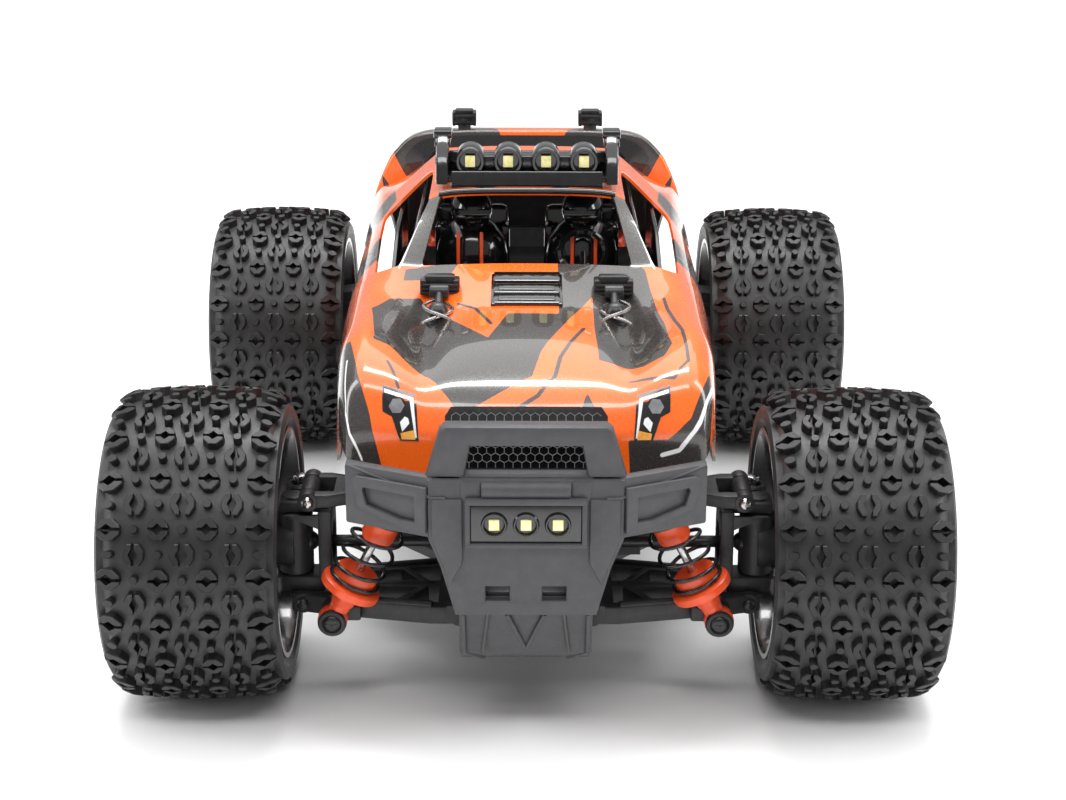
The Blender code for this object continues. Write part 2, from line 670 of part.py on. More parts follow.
def center_link():
    """Sliding link between the tie rods, with a slot for the servo saver's pin."""
    steer, x = STEER_Y / MM, SAVER[0] / MM
    bar = plate(
        [[(-31, steer - 4), (31, steer - 4), (31, steer + 4), (-31, steer + 4)],
         [(x - 1.8, steer - 2.8), (x + 1.8, steer - 2.8), (x + 1.8, steer + 2.8), (x - 1.8, steer + 2.8)]],
        2.6 * MM, "XY", 66 * MM,
    )
    studs = [
        rod(1.4 * MM, (side * TIE_INNER_X, STEER_Y, 66 * MM), (side * TIE_INNER_X, STEER_Y, 75 * MM), 6)
        for side in (1, -1)
    ]
    return fuse([bar, *studs])


# ---- outside -------------------------------------------------------------------------------
def front_bumper():
    """Bumper: centre panel, swept wings, hoop guard, cross tube, lamp box and gussets."""
    panel = plate(
        [[(-33, 108), (33, 108), (33, 86), (24, 58), (-24, 58), (-33, 86)],
         [(6, 64), (16, 64), (16, 69), (6, 69)], [(-16, 64), (-6, 64), (-6, 69), (-16, 69)]],
        5 * MM, "XZ", -200.5 * MM,
    )
    guard = plate(
        [[(-33, 107), (-28, 125.5), (28, 125.5), (33, 107)], [(-21, 108.5), (21, 108.5), (18, 118), (-18, 118)]],
        7 * MM, "XZ", -197.5 * MM,
    )
    pieces = [
        panel, guard,
        rod(3.5 * MM, mm(-16, -201, 104), mm(16, -201, 104), 12),
        box(mm(39.4, 5, 16), mm(0, -203, 92)),
        box(mm(28, 32, 6), mm(0, -182.5, 62)),
    ]
    for side in (1, -1):
        wing = [(31, -203), (62, -188), (62, -183), (31, -198)]
        pieces.append(plate([[(side * across, along) for across, along in wing]], 22 * MM, "XY", 97 * MM))
        gusset = [(-199, 60), (-199, 84), (-172, 66), (-167, 60)]
        pieces.append(plate([gusset], 3 * MM, "YZ", side * 15 * MM))
    return fuse(pieces)


def skid_plate():
    """Bent skid under the nose, with a centre rib."""
    section = [(-166, 28.3), (-176, 29.5), (-190, 38), (-198, 57.4), (-195, 57.6), (-187, 40.5),
               (-175, 33), (-166, 31.6)]
    sheet = plate([section], 44 * MM, "YZ", 0)
    lug = box(mm(30, 5, 18), mm(0, -168.2, 40.6))
    return fuse([sheet, lug])


def light_bar():
    """Roof light bar: back plate, four pods and side cheeks."""
    pieces = [box(mm(64, 4, 10), mm(0, -17, 174)), box(mm(66, 22, 2.6), mm(0, -20, 169.4))]
    for pod in (-1.5, -0.5, 0.5, 1.5):
        centre = pod * 15.2 * MM
        pieces.append(rod(5.8 * MM, (centre, -30 * MM, 176.5 * MM), (centre, -16 * MM, 176.5 * MM), 14))
    for side in (1, -1):
        cheek = [(-33, 168), (-31, 178), (-20, 187), (-14, 187), (-9, 178), (-7, 168)]
        pieces.append(plate([cheek], 5 * MM, "YZ", side * 34 * MM))
    return fuse(pieces)


def cockpit_insert():
    """Thin deck with two seats and two helmets, under the roof."""
    pieces = [plate([[(-54, -60), (54, -60), (56, 60), (-56, 60)]], 2 * MM, "XY", 117 * MM)]
    for side in (1, -1):
        seat_x = side * 22.7 * MM
        pieces.append(rod(15 * MM, (seat_x, -10 * MM, 116.5 * MM), (seat_x, -10 * MM, 148 * MM), 12, 8 * MM))
        pieces.append(box(mm(30, 8, 34), (seat_x, 8 * MM, 133 * MM)))
        pieces.append(ball(9 * MM, (seat_x, -12 * MM, 153 * MM), 10))
    return fuse(pieces)


def arch_z(along):
    """Height of the body's lower edge: the skirt, raised round each wheel."""
    along = abs(along) - AXLE_Y
    if abs(along) >= ARCH_RADIUS:
        return SKIRT_Z
    return max(SKIRT_Z, AXLE_Z + math.sqrt(ARCH_RADIUS**2 - along**2))


# Each station of the shell: y, then (x, z) of nine points from the centre line out to the side.
# The last point's height is None where it follows the wheel arch or the skirt.
SHELL_STATIONS = [
    (-177, [(0, 99), (14, 99), (27, 99), (35, 99), (45, 100), (53, 101), (58, 102), (60, 103), (61, 104)]),
    (-176, [(0, 113), (14, 113), (27, 113), (35, 114), (45, 115), (54, 116), (60, 116), (62, 112), (62.5, None)]),
    (-171, [(0, 123), (14, 123), (27, 123.5), (36, 125), (46, 128), (55, 130), (62, 127), (64, 119), (64.5, None)]),
    (-164, [(0, 128.5), (14, 128.5), (27, 129), (36, 128), (46, 133), (56, 135), (63, 132), (66, 124), (66, None)]),
    (-150, [(0, 132.5), (14, 132.5), (28, 132), (36, 129.5), (47, 135), (57, 138), (64, 135), (67, 127), (67, None)]),
    (-137.5, [(0, 135), (14, 135), (28, 134), (37, 130), (48, 136), (58, 139.5), (65, 137), (68, 128), (68, None)]),
    (-120, [(0, 136.5), (14, 136.5), (28, 135), (38, 130.5), (48, 136), (58, 139.5), (65, 137), (68, 126), (68, None)]),
    (-104, [(0, 137.5), (14, 137.5), (28, 136), (38, 131.5), (48, 136), (58, 139), (66, 136), (69, 124), (69, None)]),
    (-90, [(0, 140), (14, 140), (28, 138.5), (38, 135), (48, 138), (58, 139.5), (67, 135), (71, 118), (71, None)]),
    (-78, [(0, 142.5), (14, 142.5), (28, 141), (39, 139), (49, 141), (58, 140.5), (68, 134), (73, 112), (74, None)]),
    (-66, [(0, 144.5), (14, 144.5), (28, 144), (41, 143.5), (49.5, 143.5), (59, 140.5), (69, 133), (75, 104), (76, None)]),
    (-40, [(0, 166.5), (14, 166.5), (27, 166), (34.5, 165), (39, 163), (60, 140.5), (70, 132), (75.5, 100), (76, None)]),
    (-36, [(0, 167.4), (14, 167.4), (27, 167), (34.5, 166), (39, 163.5), (60, 140.5), (70, 132), (75.5, 100), (76, None)]),
    (-8, [(0, 166.4), (14, 166.4), (27, 166), (34.5, 165.5), (39, 163.5), (61, 140.5), (70, 132), (75.5, 100), (76, None)]),
    (20, [(0, 167), (14, 167), (27, 166.6), (34.5, 166), (39, 164), (61, 141), (70, 132), (75.5, 100), (76, None)]),
    (32, [(0, 167.5), (14, 167.5), (27, 167), (34.5, 166.5), (39, 164.5), (61, 142), (70, 132), (75.5, 100), (76, None)]),
    (45, [(0, 167), (14, 167), (27, 166.5), (34.5, 166), (39.5, 164), (62, 142), (71, 132), (75, 100), (76, None)]),
    (62, [(0, 150), (14, 150), (27, 150), (38, 160), (44, 157), (64, 141), (71.5, 132), (75, 100), (75.5, None)]),
    (82, [(0, 150), (14, 150), (27, 150), (46, 149), (52, 146), (66, 139), (72, 131), (74, 108), (74.5, None)]),
    (100, [(0, 150), (14, 150), (27, 150), (52, 139), (58, 137), (68, 137), (72.5, 131), (73.5, 115), (73.5, None)]),
    (105, [(0, 153.5), (14, 153.5), (28, 153.5), (43, 152), (47, 146), (49, 134), (72.5, 129), (73, 117), (73, None)]),
    (107, [(0, 161), (14, 161), (28, 161), (47, 160), (56, 157.5), (64, 148), (72, 131), (73, 117), (73, None)]),
    (130, [(0, 159), (14, 159), (28, 159), (47, 158), (56, 155.5), (64, 147), (71.5, 132), (72.5, 124), (72.5, None)]),
    (150, [(0, 150), (14, 150), (28, 150), (46, 149), (55, 147), (63, 141), (70, 134), (71.5, 125), (71.5, None)]),
    (172, [(0, 139), (14, 139), (28, 139), (45, 138.5), (54, 137), (61, 134), (67.5, 129), (69.5, 120), (69.5, None)]),
    (192, [(0, 131), (14, 131), (28, 131), (44, 130.5), (52, 129), (59, 126), (64.5, 121), (66.5, 110), (66.5, None)]),
    (201, [(0, 121), (14, 121), (28, 121), (43, 120.5), (51, 119), (57, 116), (62, 111), (64, 100), (64, None)]),
    (205.5, [(0, 96), (14, 96), (28, 96), (43, 96), (50, 95.5), (56, 94), (60, 92), (62, 88), (62, 80)]),
    (203, [(0, 80), (14, 80), (28, 80), (43, 80), (50, 79.5), (55, 78.5), (58, 77), (60, 75), (60.5, 72)]),
]
# Openings of the shell, as (first station y, last station y, first point, last point).
SHELL_OPENINGS = [
    (-66, -40, 0, 3),      # windscreen
    (-66, 20, 4, 5),       # side window, on both sides
    (45, 100, 0, 3),       # behind the cab
    (62, 100, 3, 4),
    (100, 105, 0, 4),
]


def body_shell():
    """Thin painted shell: a lofted half sheet, mirrored, with the windows left open."""
    bm = bmesh.new()
    rows = []
    for along, points in SHELL_STATIONS:
        row = []
        for across, up in points:
            height = arch_z(along * MM) if up is None else up * MM
            row.append(bm.verts.new((across * MM, along * MM, height)))
        rows.append(row)
    for index, (row, after) in enumerate(zip(rows, rows[1:])):
        start, end = SHELL_STATIONS[index][0], SHELL_STATIONS[index + 1][0]
        for point in range(len(row) - 1):
            if any(low <= start and end <= high and first <= point < last
                   for low, high, first, last in SHELL_OPENINGS):
                continue
            bm.faces.new((row[point], after[point], after[point + 1], row[point + 1]))
    for loose in [vert for vert in bm.verts if not vert.link_faces]:
        bm.verts.remove(loose)
    mesh = bpy.data.meshes.new("shell")
    bmesh.ops.recalc_face_normals(bm, faces=bm.faces)
    top = max(bm.faces, key=lambda face: face.calc_center_median().z)
    if top.normal.z < 0:
        bmesh.ops.reverse_faces(bm, faces=bm.faces)
    bm.to_mesh(mesh)
    bm.free()
    made = bpy.data.objects.new("shell", mesh)
    PARTS.objects.link(made)
    mirror = made.modifiers.new("Mirror", "MIRROR")
    mirror.merge_threshold = 1e-5
    solidify = made.modifiers.new("Solidify", "SOLIDIFY")
    solidify.thickness = SHELL_THICKNESS
    solidify.offset = -1
    shell = as_mesh(made)
    holes = []
    for side in (1, -1):
        for place, low, high in ((FRONT_POST, 124, 142), (REAR_POST, 148, 168)):
            spot = (side * place[0], place[1])
            holes.append(rod(POST_RADIUS + 1 * MM, (*spot, low * MM), (*spot, high * MM), 8))
    return fuse([shell], holes)


def hood_clip():
    """Hairpin clip: a straight leg through the post and a bent leg round it."""
    x, y, z = FRONT_POST[0] / MM, FRONT_POST[1] / MM, 135.5
    points = [(x, y + 5, z), (x, y - 8, z)]
    centre_y, radius = y - 12, 3.4
    for step in range(9):
        angle = math.radians(60 - 42 * step)
        points.append((x + 2.2 - radius * math.cos(angle + 0.9), centre_y + radius * math.sin(angle + 0.9), z))
    points += [(x + 4.9, y - 6, z), (x + 4.3, y - 1, z), (x + 5.2, y + 4, z)]
    return wire([mm(*point) for point in points], 0.7 * MM)


# ---- assembly ------------------------------------------------------------------------------
LOWER_PIVOT = (ARM_INNER_X, -AXLE_Y, ARM_Z)
UPPER_PIVOT = (LINK_INNER_X, -AXLE_Y, LINK_Z)
UPRIGHT_PIVOT = (ARM_OUTER_X, -AXLE_Y, ARM_Z)
WHEEL_CENTRE = (WHEEL_X, -AXLE_Y, AXLE_Z)
KINGPIN = (KINGPIN_X, -AXLE_Y, AXLE_Z)

at_corners(tyre, "tyre", RUBBER, WHEEL_CENTRE)
at_corners(rim, "rim", RIM_BLACK, WHEEL_CENTRE)
at_corners(lower_arm, "lower_arm", PLASTIC, LOWER_PIVOT)
at_corners(upper_arm, "upper_arm", PLASTIC, UPPER_PIVOT)
at_corners(shock_body, "shock_body", ORANGE_PLASTIC, SHOCK_HEAD)
at_corners(shock_shaft, "shock_shaft", STEEL, SHOCK_FOOT)
at_corners(spring, "spring", SPRING_BLACK, SHOCK_HEAD)
at_corners(drive_shaft, "drive_shaft", STEEL, (0, -AXLE_Y, DRIVE_Z))
at_sides(caster_block, "caster_block", PLASTIC, UPRIGHT_PIVOT)
at_sides(steering_knuckle, "steering_knuckle", PLASTIC, KINGPIN)
at_sides(tie_rod, "tie_rod", PLASTIC, (TIE_INNER_X, STEER_Y, TIE_Z))
for side_name, flip in SIDES.items():
    carrier = name_part(hub_carrier(), "carrier_" + side_name, PLASTIC, UPRIGHT_PIVOT)
    mirrored(carrier, "hub_carrier_" + side_name, flip, -1)
    bpy.data.objects.remove(carrier, do_unlink=True)

name_part(center_link(), "center_link", PLASTIC, (0, STEER_Y, TIE_Z))
name_part(servo_saver(), "servo_saver", PLASTIC, (*SAVER, TIE_Z))
name_part(steering_servo(), "steering_servo", PLASTIC)
name_part(chassis_plate(), "chassis_plate", PLASTIC)
name_part(front_gearbox(), "front_gearbox", PLASTIC)
name_part(rear_gearbox(), "rear_gearbox", PLASTIC)
name_part(front_shock_tower(), "front_shock_tower", PLASTIC)
name_part(front_bumper(), "front_bumper", BUMPER_GREY)
name_part(skid_plate(), "skid_plate", BUMPER_GREY)
name_part(body_shell(), "body_shell", ORANGE_PAINT)
name_part(light_bar(), "light_bar", GLOSS_BLACK)
name_part(cockpit_insert(), "cockpit_insert", GLOSS_BLACK)
name_part(battery_pack(), "battery_pack", BATTERY_BLUE)
name_part(motor(), "motor", ALUMINIUM)
name_part(pinion_gear(), "pinion_gear", BRASS, (MOTOR_X, SPUR_Y, DRIVE_Z))
name_part(spur_gear(), "spur_gear", PLASTIC, (0, SPUR_Y, DRIVE_Z))
name_part(center_shaft(), "center_shaft", STEEL, (0, 0, DRIVE_Z))
name_part(speed_controller(), "speed_controller", ALUMINIUM)
at_sides(hood_clip, "hood_clip", STEEL, (*FRONT_POST, 135.5 * MM))
for made_part in PARTS.objects:
    if not made_part.data.materials:
        raise RuntimeError(made_part.name + " has no material")
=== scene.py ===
"""Looks of the radio-controlled monster truck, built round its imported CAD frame.

Shapes are written in millimetres and turned into metres when a piece is made. +Z is up, the truck
faces -Y and its own left side is +X. Corner pieces are drawn at the front left and mirrored.
"""

import math

import bmesh
import bpy
import numpy as np
from mathutils import Matrix, Vector
from mathutils.bvhtree import BVHTree


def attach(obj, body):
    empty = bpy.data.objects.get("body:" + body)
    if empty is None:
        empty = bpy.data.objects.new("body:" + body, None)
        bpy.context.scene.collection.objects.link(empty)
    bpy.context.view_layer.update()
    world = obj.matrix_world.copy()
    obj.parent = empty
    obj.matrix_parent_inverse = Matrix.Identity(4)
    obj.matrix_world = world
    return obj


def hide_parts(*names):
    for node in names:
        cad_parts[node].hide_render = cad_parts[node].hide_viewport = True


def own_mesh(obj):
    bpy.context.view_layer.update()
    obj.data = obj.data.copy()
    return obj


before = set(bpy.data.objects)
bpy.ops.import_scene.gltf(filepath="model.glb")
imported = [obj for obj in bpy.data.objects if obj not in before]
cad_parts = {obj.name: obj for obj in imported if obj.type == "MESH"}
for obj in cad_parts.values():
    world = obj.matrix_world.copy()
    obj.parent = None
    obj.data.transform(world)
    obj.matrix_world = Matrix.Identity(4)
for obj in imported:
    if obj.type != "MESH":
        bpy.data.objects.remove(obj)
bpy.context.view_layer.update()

MM = 0.001
AXLE_Y = 137.5
AXLE_Z = 57.5
WHEEL = Vector((118, -AXLE_Y, AXLE_Z))
SHOCK_FOOT = Vector((70, -160, 36.5))
SHOCK_HEAD = Vector((34, -160, 107))
SHOCK_AXIS = (SHOCK_HEAD - SHOCK_FOOT).normalized()
CORNERS = {
    "front_left": (1, 1), "front_right": (-1, 1), "rear_left": (1, -1), "rear_right": (-1, -1),
}
X, Y, Z = Vector((1, 0, 0)), Vector((0, 1, 0)), Vector((0, 0, 1))


# ---- materials -----------------------------------------------------------------------------
class Nodes:
    """Small helper that adds and links shader nodes of one material."""

    def __init__(self, name):
        self.material = bpy.data.materials.new(name)
        self.material.use_nodes = True
        self.tree = self.material.node_tree
        self.shader = self.tree.nodes["Principled BSDF"]
        coordinates = self.tree.nodes.new("ShaderNodeTexCoord")
        self.place = coordinates.outputs["Object"]

    def add(self, kind, **settings):
        node = self.tree.nodes.new(kind)
        for key, value in settings.items():
            setattr(node, key, value)
        return node

    def link(self, start, end):
        self.tree.links.new(start, end)

    def noise(self, scale, detail=4.0, stretch=None):
        node = self.add("ShaderNodeTexNoise")
        node.inputs["Scale"].default_value = scale
        node.inputs["Detail"].default_value = detail
        if stretch:
            mapping = self.add("ShaderNodeMapping")
            mapping.inputs["Scale"].default_value = stretch
            self.link(self.place, mapping.inputs["Vector"])
            self.link(mapping.outputs["Vector"], node.inputs["Vector"])
        else:
            self.link(self.place, node.inputs["Vector"])
        return node.outputs["Fac"]

    def mix(self, factor, first, second):
        """Colour mix; each of first and second is an RGB tuple or a socket."""
        node = self.add("ShaderNodeMix", data_type="RGBA")
        if isinstance(factor, float):
            node.inputs[0].default_value = factor
        else:
            self.link(factor, node.inputs[0])
        for value, socket in ((first, node.inputs[6]), (second, node.inputs[7])):
            if isinstance(value, tuple):
                socket.default_value = (*value, 1.0)
            else:
                self.link(value, socket)
        return node.outputs[2]

    def span(self, value, low, high, low_out, high_out):
        node = self.add("ShaderNodeMapRange")
        self.link(value, node.inputs["Value"])
        settings = {"From Min": low, "From Max": high, "To Min": low_out, "To Max": high_out}
        for key, number in settings.items():
            node.inputs[key].default_value = number
        return node.outputs["Result"]

    def bump(self, height, strength, distance):
        node = self.add("ShaderNodeBump")
        node.inputs["Strength"].default_value = strength
        node.inputs["Distance"].default_value = distance
        self.link(height, node.inputs["Height"])
        self.link(node.outputs["Normal"], self.shader.inputs["Normal"])

    def attribute(self, name):
        return self.add("ShaderNodeAttribute", attribute_name=name).outputs["Fac"]


def finish(name, colour, second, rough, grain=0.0, metallic=0.0, coat=0.0, scale=260.0, stretch=None):
    """Two close tones in a cloudy mix, uneven roughness and a fine grain."""
    made = Nodes(name)
    cloud = made.noise(scale, 5.0, stretch)
    spread = made.span(cloud, 0.3, 0.7, 0.0, 1.0)
    made.link(made.mix(spread, colour, second), made.shader.inputs["Base Color"])
    uneven = made.noise(scale * 3.1, 6.0, stretch)
    made.link(made.span(uneven, 0.3, 0.7, rough[0], rough[1]), made.shader.inputs["Roughness"])
    made.shader.inputs["Metallic"].default_value = metallic
    made.shader.inputs["Coat Weight"].default_value = coat
    made.shader.inputs["Coat Roughness"].default_value = 0.06
    if grain:
        made.bump(made.noise(scale * 14, 3.0, stretch), grain, 0.0002)
    return made.material


def rubber():
    """Carcass with a soft sheen; carcass and blocks are one rubber, the carcass painted lighter as painted
    sheen and the blocks darker.
    """
    made = Nodes("tyre_rubber_look")
    raised = made.attribute("raised")
    cloud = made.span(made.noise(120.0, 5.0), 0.3, 0.7, 0.0, 1.0)
    # painted sheen: one rubber in two tones, the carcass painted lighter than the blocks
    carcass = made.mix(cloud, (0.020, 0.020, 0.021), (0.030, 0.030, 0.031))
    blocks = made.mix(cloud, (0.005, 0.005, 0.006), (0.012, 0.012, 0.013))
    made.link(made.mix(raised, carcass, blocks), made.shader.inputs["Base Color"])
    rough = made.span(made.noise(700.0, 6.0), 0.3, 0.7, 0.38, 0.50)
    made.link(rough, made.shader.inputs["Roughness"])
    made.shader.inputs["Specular IOR Level"].default_value = 0.5
    made.bump(made.noise(2600.0, 3.0), 0.25, 0.0002)
    return made.material


def paint():
    """Glossy livery, with two painted highlights in the white field, from the distance fields stored on the
    shell: each field is 0 on an edge.
    """
    made = Nodes("body_paint_look")
    flake = made.noise(5200.0, 2.0)
    cloud = made.span(made.noise(45.0, 3.0), 0.3, 0.7, 0.0, 1.0)
    orange = made.mix(cloud, (0.93, 0.115, 0.006), (0.98, 0.150, 0.010))
    flakes = made.span(flake, 0.56, 0.72, 0.0, 1.0)
    dark = made.mix(flakes, (0.030, 0.026, 0.024), (0.115, 0.105, 0.098))
    black = made.mix(cloud, (0.006, 0.006, 0.007), (0.012, 0.012, 0.013))
    # white: livery lines, and painted highlights along the front fender corners
    white = made.mix(cloud, (0.80, 0.80, 0.80), (0.88, 0.88, 0.88))
    colour = orange
    for field, layer in (("dark", dark), ("black", black), ("white", white)):
        edge = made.span(made.attribute(field), -0.12, 0.12, 1.0, 0.0)
        colour = made.mix(edge, colour, layer)
    made.link(colour, made.shader.inputs["Base Color"])
    rough = made.span(made.noise(900.0, 5.0), 0.3, 0.7, 0.20, 0.30)
    made.link(rough, made.shader.inputs["Roughness"])
    made.shader.inputs["Coat Weight"].default_value = 1.0
    made.shader.inputs["Coat Roughness"].default_value = 0.02
    made.bump(made.noise(160.0, 2.0), 0.04, 0.0004)
    return made.material


def lamp(name, centre_colour, edge_colour):
    """A lit LED chip: pale and greener tones in a cloudy mix."""
    made = Nodes(name)
    cloud = made.span(made.noise(500.0, 3.0), 0.35, 0.65, 0.0, 1.0)
    colour = made.mix(cloud, centre_colour, edge_colour)
    made.link(colour, made.shader.inputs["Base Color"])
    made.link(colour, made.shader.inputs["Emission Color"])
    made.shader.inputs["Emission Strength"].default_value = 0.12
    made.link(made.span(made.noise(900.0), 0.3, 0.7, 0.25, 0.4), made.shader.inputs["Roughness"])
    return made.material


def wrap():
    """Printed shrink wrap with a pale band across it."""
    made = Nodes("battery_wrap_look")
    wave = made.add("ShaderNodeTexWave", bands_direction="Y")
    wave.inputs["Scale"].default_value = 9.0
    wave.inputs["Distortion"].default_value = 1.5
    made.link(made.place, wave.inputs["Vector"])
    band = made.span(wave.outputs["Fac"], 0.82, 0.86, 0.0, 1.0)
    made.link(made.mix(band, (0.010, 0.040, 0.16), (0.5, 0.52, 0.55)), made.shader.inputs["Base Color"])
    made.link(made.span(made.noise(400.0), 0.3, 0.7, 0.25, 0.4), made.shader.inputs["Roughness"])
    made.bump(made.noise(300.0, 3.0), 0.2, 0.0005)
    return made.material


RUBBER = rubber()
PAINT = paint()
LED = lamp("led_chip", (0.95, 0.90, 0.52), (0.72, 0.74, 0.25))
WRAP = wrap()
RIM = finish("rim_look", (0.008, 0.008, 0.009), (0.016, 0.016, 0.017), (0.16, 0.26), 0.05, 0, 0.6)
NYLON = finish("nylon_look", (0.016, 0.016, 0.018), (0.028, 0.028, 0.030), (0.36, 0.52), 0.35)
BUMPER = finish("bumper_look", (0.046, 0.046, 0.049), (0.058, 0.058, 0.062), (0.40, 0.52), 0.5)
ORANGE = finish("orange_look", (0.86, 0.075, 0.014), (0.95, 0.105, 0.022), (0.28, 0.40), 0.15, 0, 0.2)
GLOSS = finish("gloss_look", (0.005, 0.005, 0.006), (0.011, 0.011, 0.012), (0.10, 0.18), 0.03, 0, 0.7)
SATIN = finish("satin_look", (0.012, 0.012, 0.013), (0.022, 0.022, 0.024), (0.28, 0.38), 0.15)
COIL = finish("coil_look", (0.010, 0.010, 0.011), (0.022, 0.022, 0.023), (0.18, 0.30), 0.05, 0.2, 0.5)
STEEL = finish("steel_look", (0.46, 0.45, 0.44), (0.62, 0.61, 0.60), (0.18, 0.32), 0.06, 1.0)
ALLOY = finish("alloy_look", (0.52, 0.52, 0.54), (0.66, 0.66, 0.68), (0.30, 0.44), 0.20, 1.0)
CAN = finish("can_look", (0.20, 0.20, 0.22), (0.30, 0.30, 0.32), (0.26, 0.36), 0.1, 1.0)
BRASS = finish("brass_look", (0.60, 0.40, 0.16), (0.74, 0.54, 0.26), (0.26, 0.40), 0.1, 1.0)
GEAR = finish("gear_look", (0.030, 0.030, 0.032), (0.048, 0.048, 0.050), (0.38, 0.50), 0.2)
INSIDE = finish("inside_look", (0.010, 0.010, 0.010), (0.020, 0.019, 0.018), (0.30, 0.45), 0.2)
MESH_GREY = finish("mesh_look", (0.10, 0.10, 0.105), (0.16, 0.16, 0.165), (0.45, 0.6), 0.1)
WHITE = finish("white_look", (0.72, 0.72, 0.73), (0.84, 0.84, 0.84), (0.22, 0.32), 0.05, 0, 0.4)
LENS_GREY = finish("lens_look", (0.13, 0.13, 0.14), (0.24, 0.24, 0.25), (0.16, 0.24), 0.05, 0, 0.6)
AMBER = finish("amber_look", (0.80, 0.30, 0.02), (0.90, 0.42, 0.05), (0.22, 0.32), 0.05, 0, 0.5)


# ---- shapes --------------------------------------------------------------------------------
def rounded(bm, width, angle=30):
    """Bevels the sharp edges of a solid."""
    if width:
        limit = math.radians(angle)
        edges = [edge for edge in bm.edges if len(edge.link_faces) == 2
                 and edge.calc_face_angle(0) > limit]
        bmesh.ops.bevel(bm, geom=edges, offset=width, segments=2, profile=0.5,
                        affect="EDGES", clamp_overlap=True)
    return bm


def block(size, centre, bevel=0.5, turn=None):
    bm = bmesh.new()
    bmesh.ops.create_cube(bm, size=1)
    bm.transform(Matrix.Diagonal((*size, 1)))
    rounded(bm, bevel)
    bm.transform(Matrix.Translation(centre) @ (turn or Matrix()))
    return bm


def bar(radius, start, end, end_radius=None, sides=24, bevel=0.3):
    """A round bar or cone between two points, with softened rims."""
    start, end = Vector(start), Vector(end)
    top = radius if end_radius is None else end_radius
    bm = bmesh.new()
    bmesh.ops.create_cone(bm, cap_ends=True, segments=sides, radius1=radius, radius2=top,
                          depth=(end - start).length)
    rounded(bm, bevel, 50)
    turn = Z.rotation_difference(end - start).to_matrix().to_4x4()
    bm.transform(Matrix.Translation((start + end) / 2) @ turn)
    return bm


def ball(radius, centre, squash=(1, 1, 1), sides=24):
    bm = bmesh.new()
    bmesh.ops.create_uvsphere(bm, u_segments=sides, v_segments=sides // 2, radius=radius)
    bm.transform(Matrix.Translation(centre) @ Matrix.Diagonal((*squash, 1)))
    return bm


def turned(profile, centre, axis, steps=48):
    """Spins (radius, height) points about an axis; the ends close on it or on each other."""
    bm = bmesh.new()
    rings = []
    for radius, height in profile:
        if radius < 1e-6:
            rings.append([bm.verts.new((0, 0, height))] * steps)
        else:
            rings.append([bm.verts.new((radius * math.cos(2 * math.pi * step / steps),
                                        radius * math.sin(2 * math.pi * step / steps), height))
                          for step in range(steps)])
    if profile[0][0] > 0:
        rings.append(rings[0])
    for ring, after in zip(rings, rings[1:]):
        for step in range(steps):
            corners = [ring[step], ring[step - 1], after[step - 1], after[step]]
            distinct = list(dict.fromkeys(corners))
            if len(distinct) > 2:
                bm.faces.new(distinct)
    bmesh.ops.recalc_face_normals(bm, faces=bm.faces)
    turn = Z.rotation_difference(Vector(axis)).to_matrix().to_4x4()
    bm.transform(Matrix.Translation(centre) @ turn)
    return bm


def from_curve(curve, place=None):
    """The mesh of a curve, as a bmesh."""
    made = bpy.data.objects.new("curve", curve)
    bpy.context.scene.collection.objects.link(made)
    bpy.context.view_layer.update()
    graph = bpy.context.evaluated_depsgraph_get()
    mesh = bpy.data.meshes.new_from_object(made.evaluated_get(graph))
    bpy.data.objects.remove(made)
    bm = bmesh.new()
    bm.from_mesh(mesh)
    bpy.data.meshes.remove(mesh)
    bmesh.ops.remove_doubles(bm, verts=bm.verts, dist=1e-4)
    if place:
        bm.transform(place)
    return bm


PLANES = {
    "XY": Matrix(),
    "XZ": Matrix.Rotation(math.pi / 2, 4, "X"),
    "YZ": Matrix.Rotation(math.pi / 2, 4, "Z") @ Matrix.Rotation(math.pi / 2, 4, "X"),
}


def slab(outlines, thickness, plane, centre, bevel=0.5):
    """A plate with rounded edges: closed outlines in the plane, the later ones being holes."""
    curve = bpy.data.curves.new("slab", "CURVE")
    curve.dimensions = "2D"
    curve.fill_mode = "BOTH"
    curve.extrude = thickness / 2 - bevel
    curve.bevel_depth = bevel
    curve.bevel_resolution = 1
    curve.offset = -bevel
    for outline in outlines:
        spline = curve.splines.new("POLY")
        spline.points.add(len(outline) - 1)
        for point, (across, up) in zip(spline.points, outline):
            point.co = (across, up, 0, 1)
        spline.use_cyclic_u = True
    shift = {"XY": Z, "XZ": Y, "YZ": X}[plane] * centre
    return from_curve(curve, Matrix.Translation(shift) @ PLANES[plane])


def wire(points, radius, cyclic=False, sides=3):
    curve = bpy.data.curves.new("wire", "CURVE")
    curve.dimensions = "3D"
    curve.bevel_depth = radius
    curve.bevel_resolution = sides
    curve.use_fill_caps = True
    spline = curve.splines.new("POLY")
    spline.points.add(len(points) - 1)
    for point, place in zip(spline.points, points):
        point.co = (*place, 1)
    spline.use_cyclic_u = cyclic
    return from_curve(curve)


def ring(radius, count=32, centre=(0, 0), start=0.0):
    return [(centre[0] + radius * math.cos(start + 2 * math.pi * step / count),
             centre[1] + radius * math.sin(start + 2 * math.pi * step / count))
            for step in range(count)]


def merged(*parts):
    whole = bmesh.new()
    for part in parts:
        mesh = bpy.data.meshes.new("part")
        part.to_mesh(mesh)
        part.free()
        whole.from_mesh(mesh)
        bpy.data.meshes.remove(mesh)
    return whole


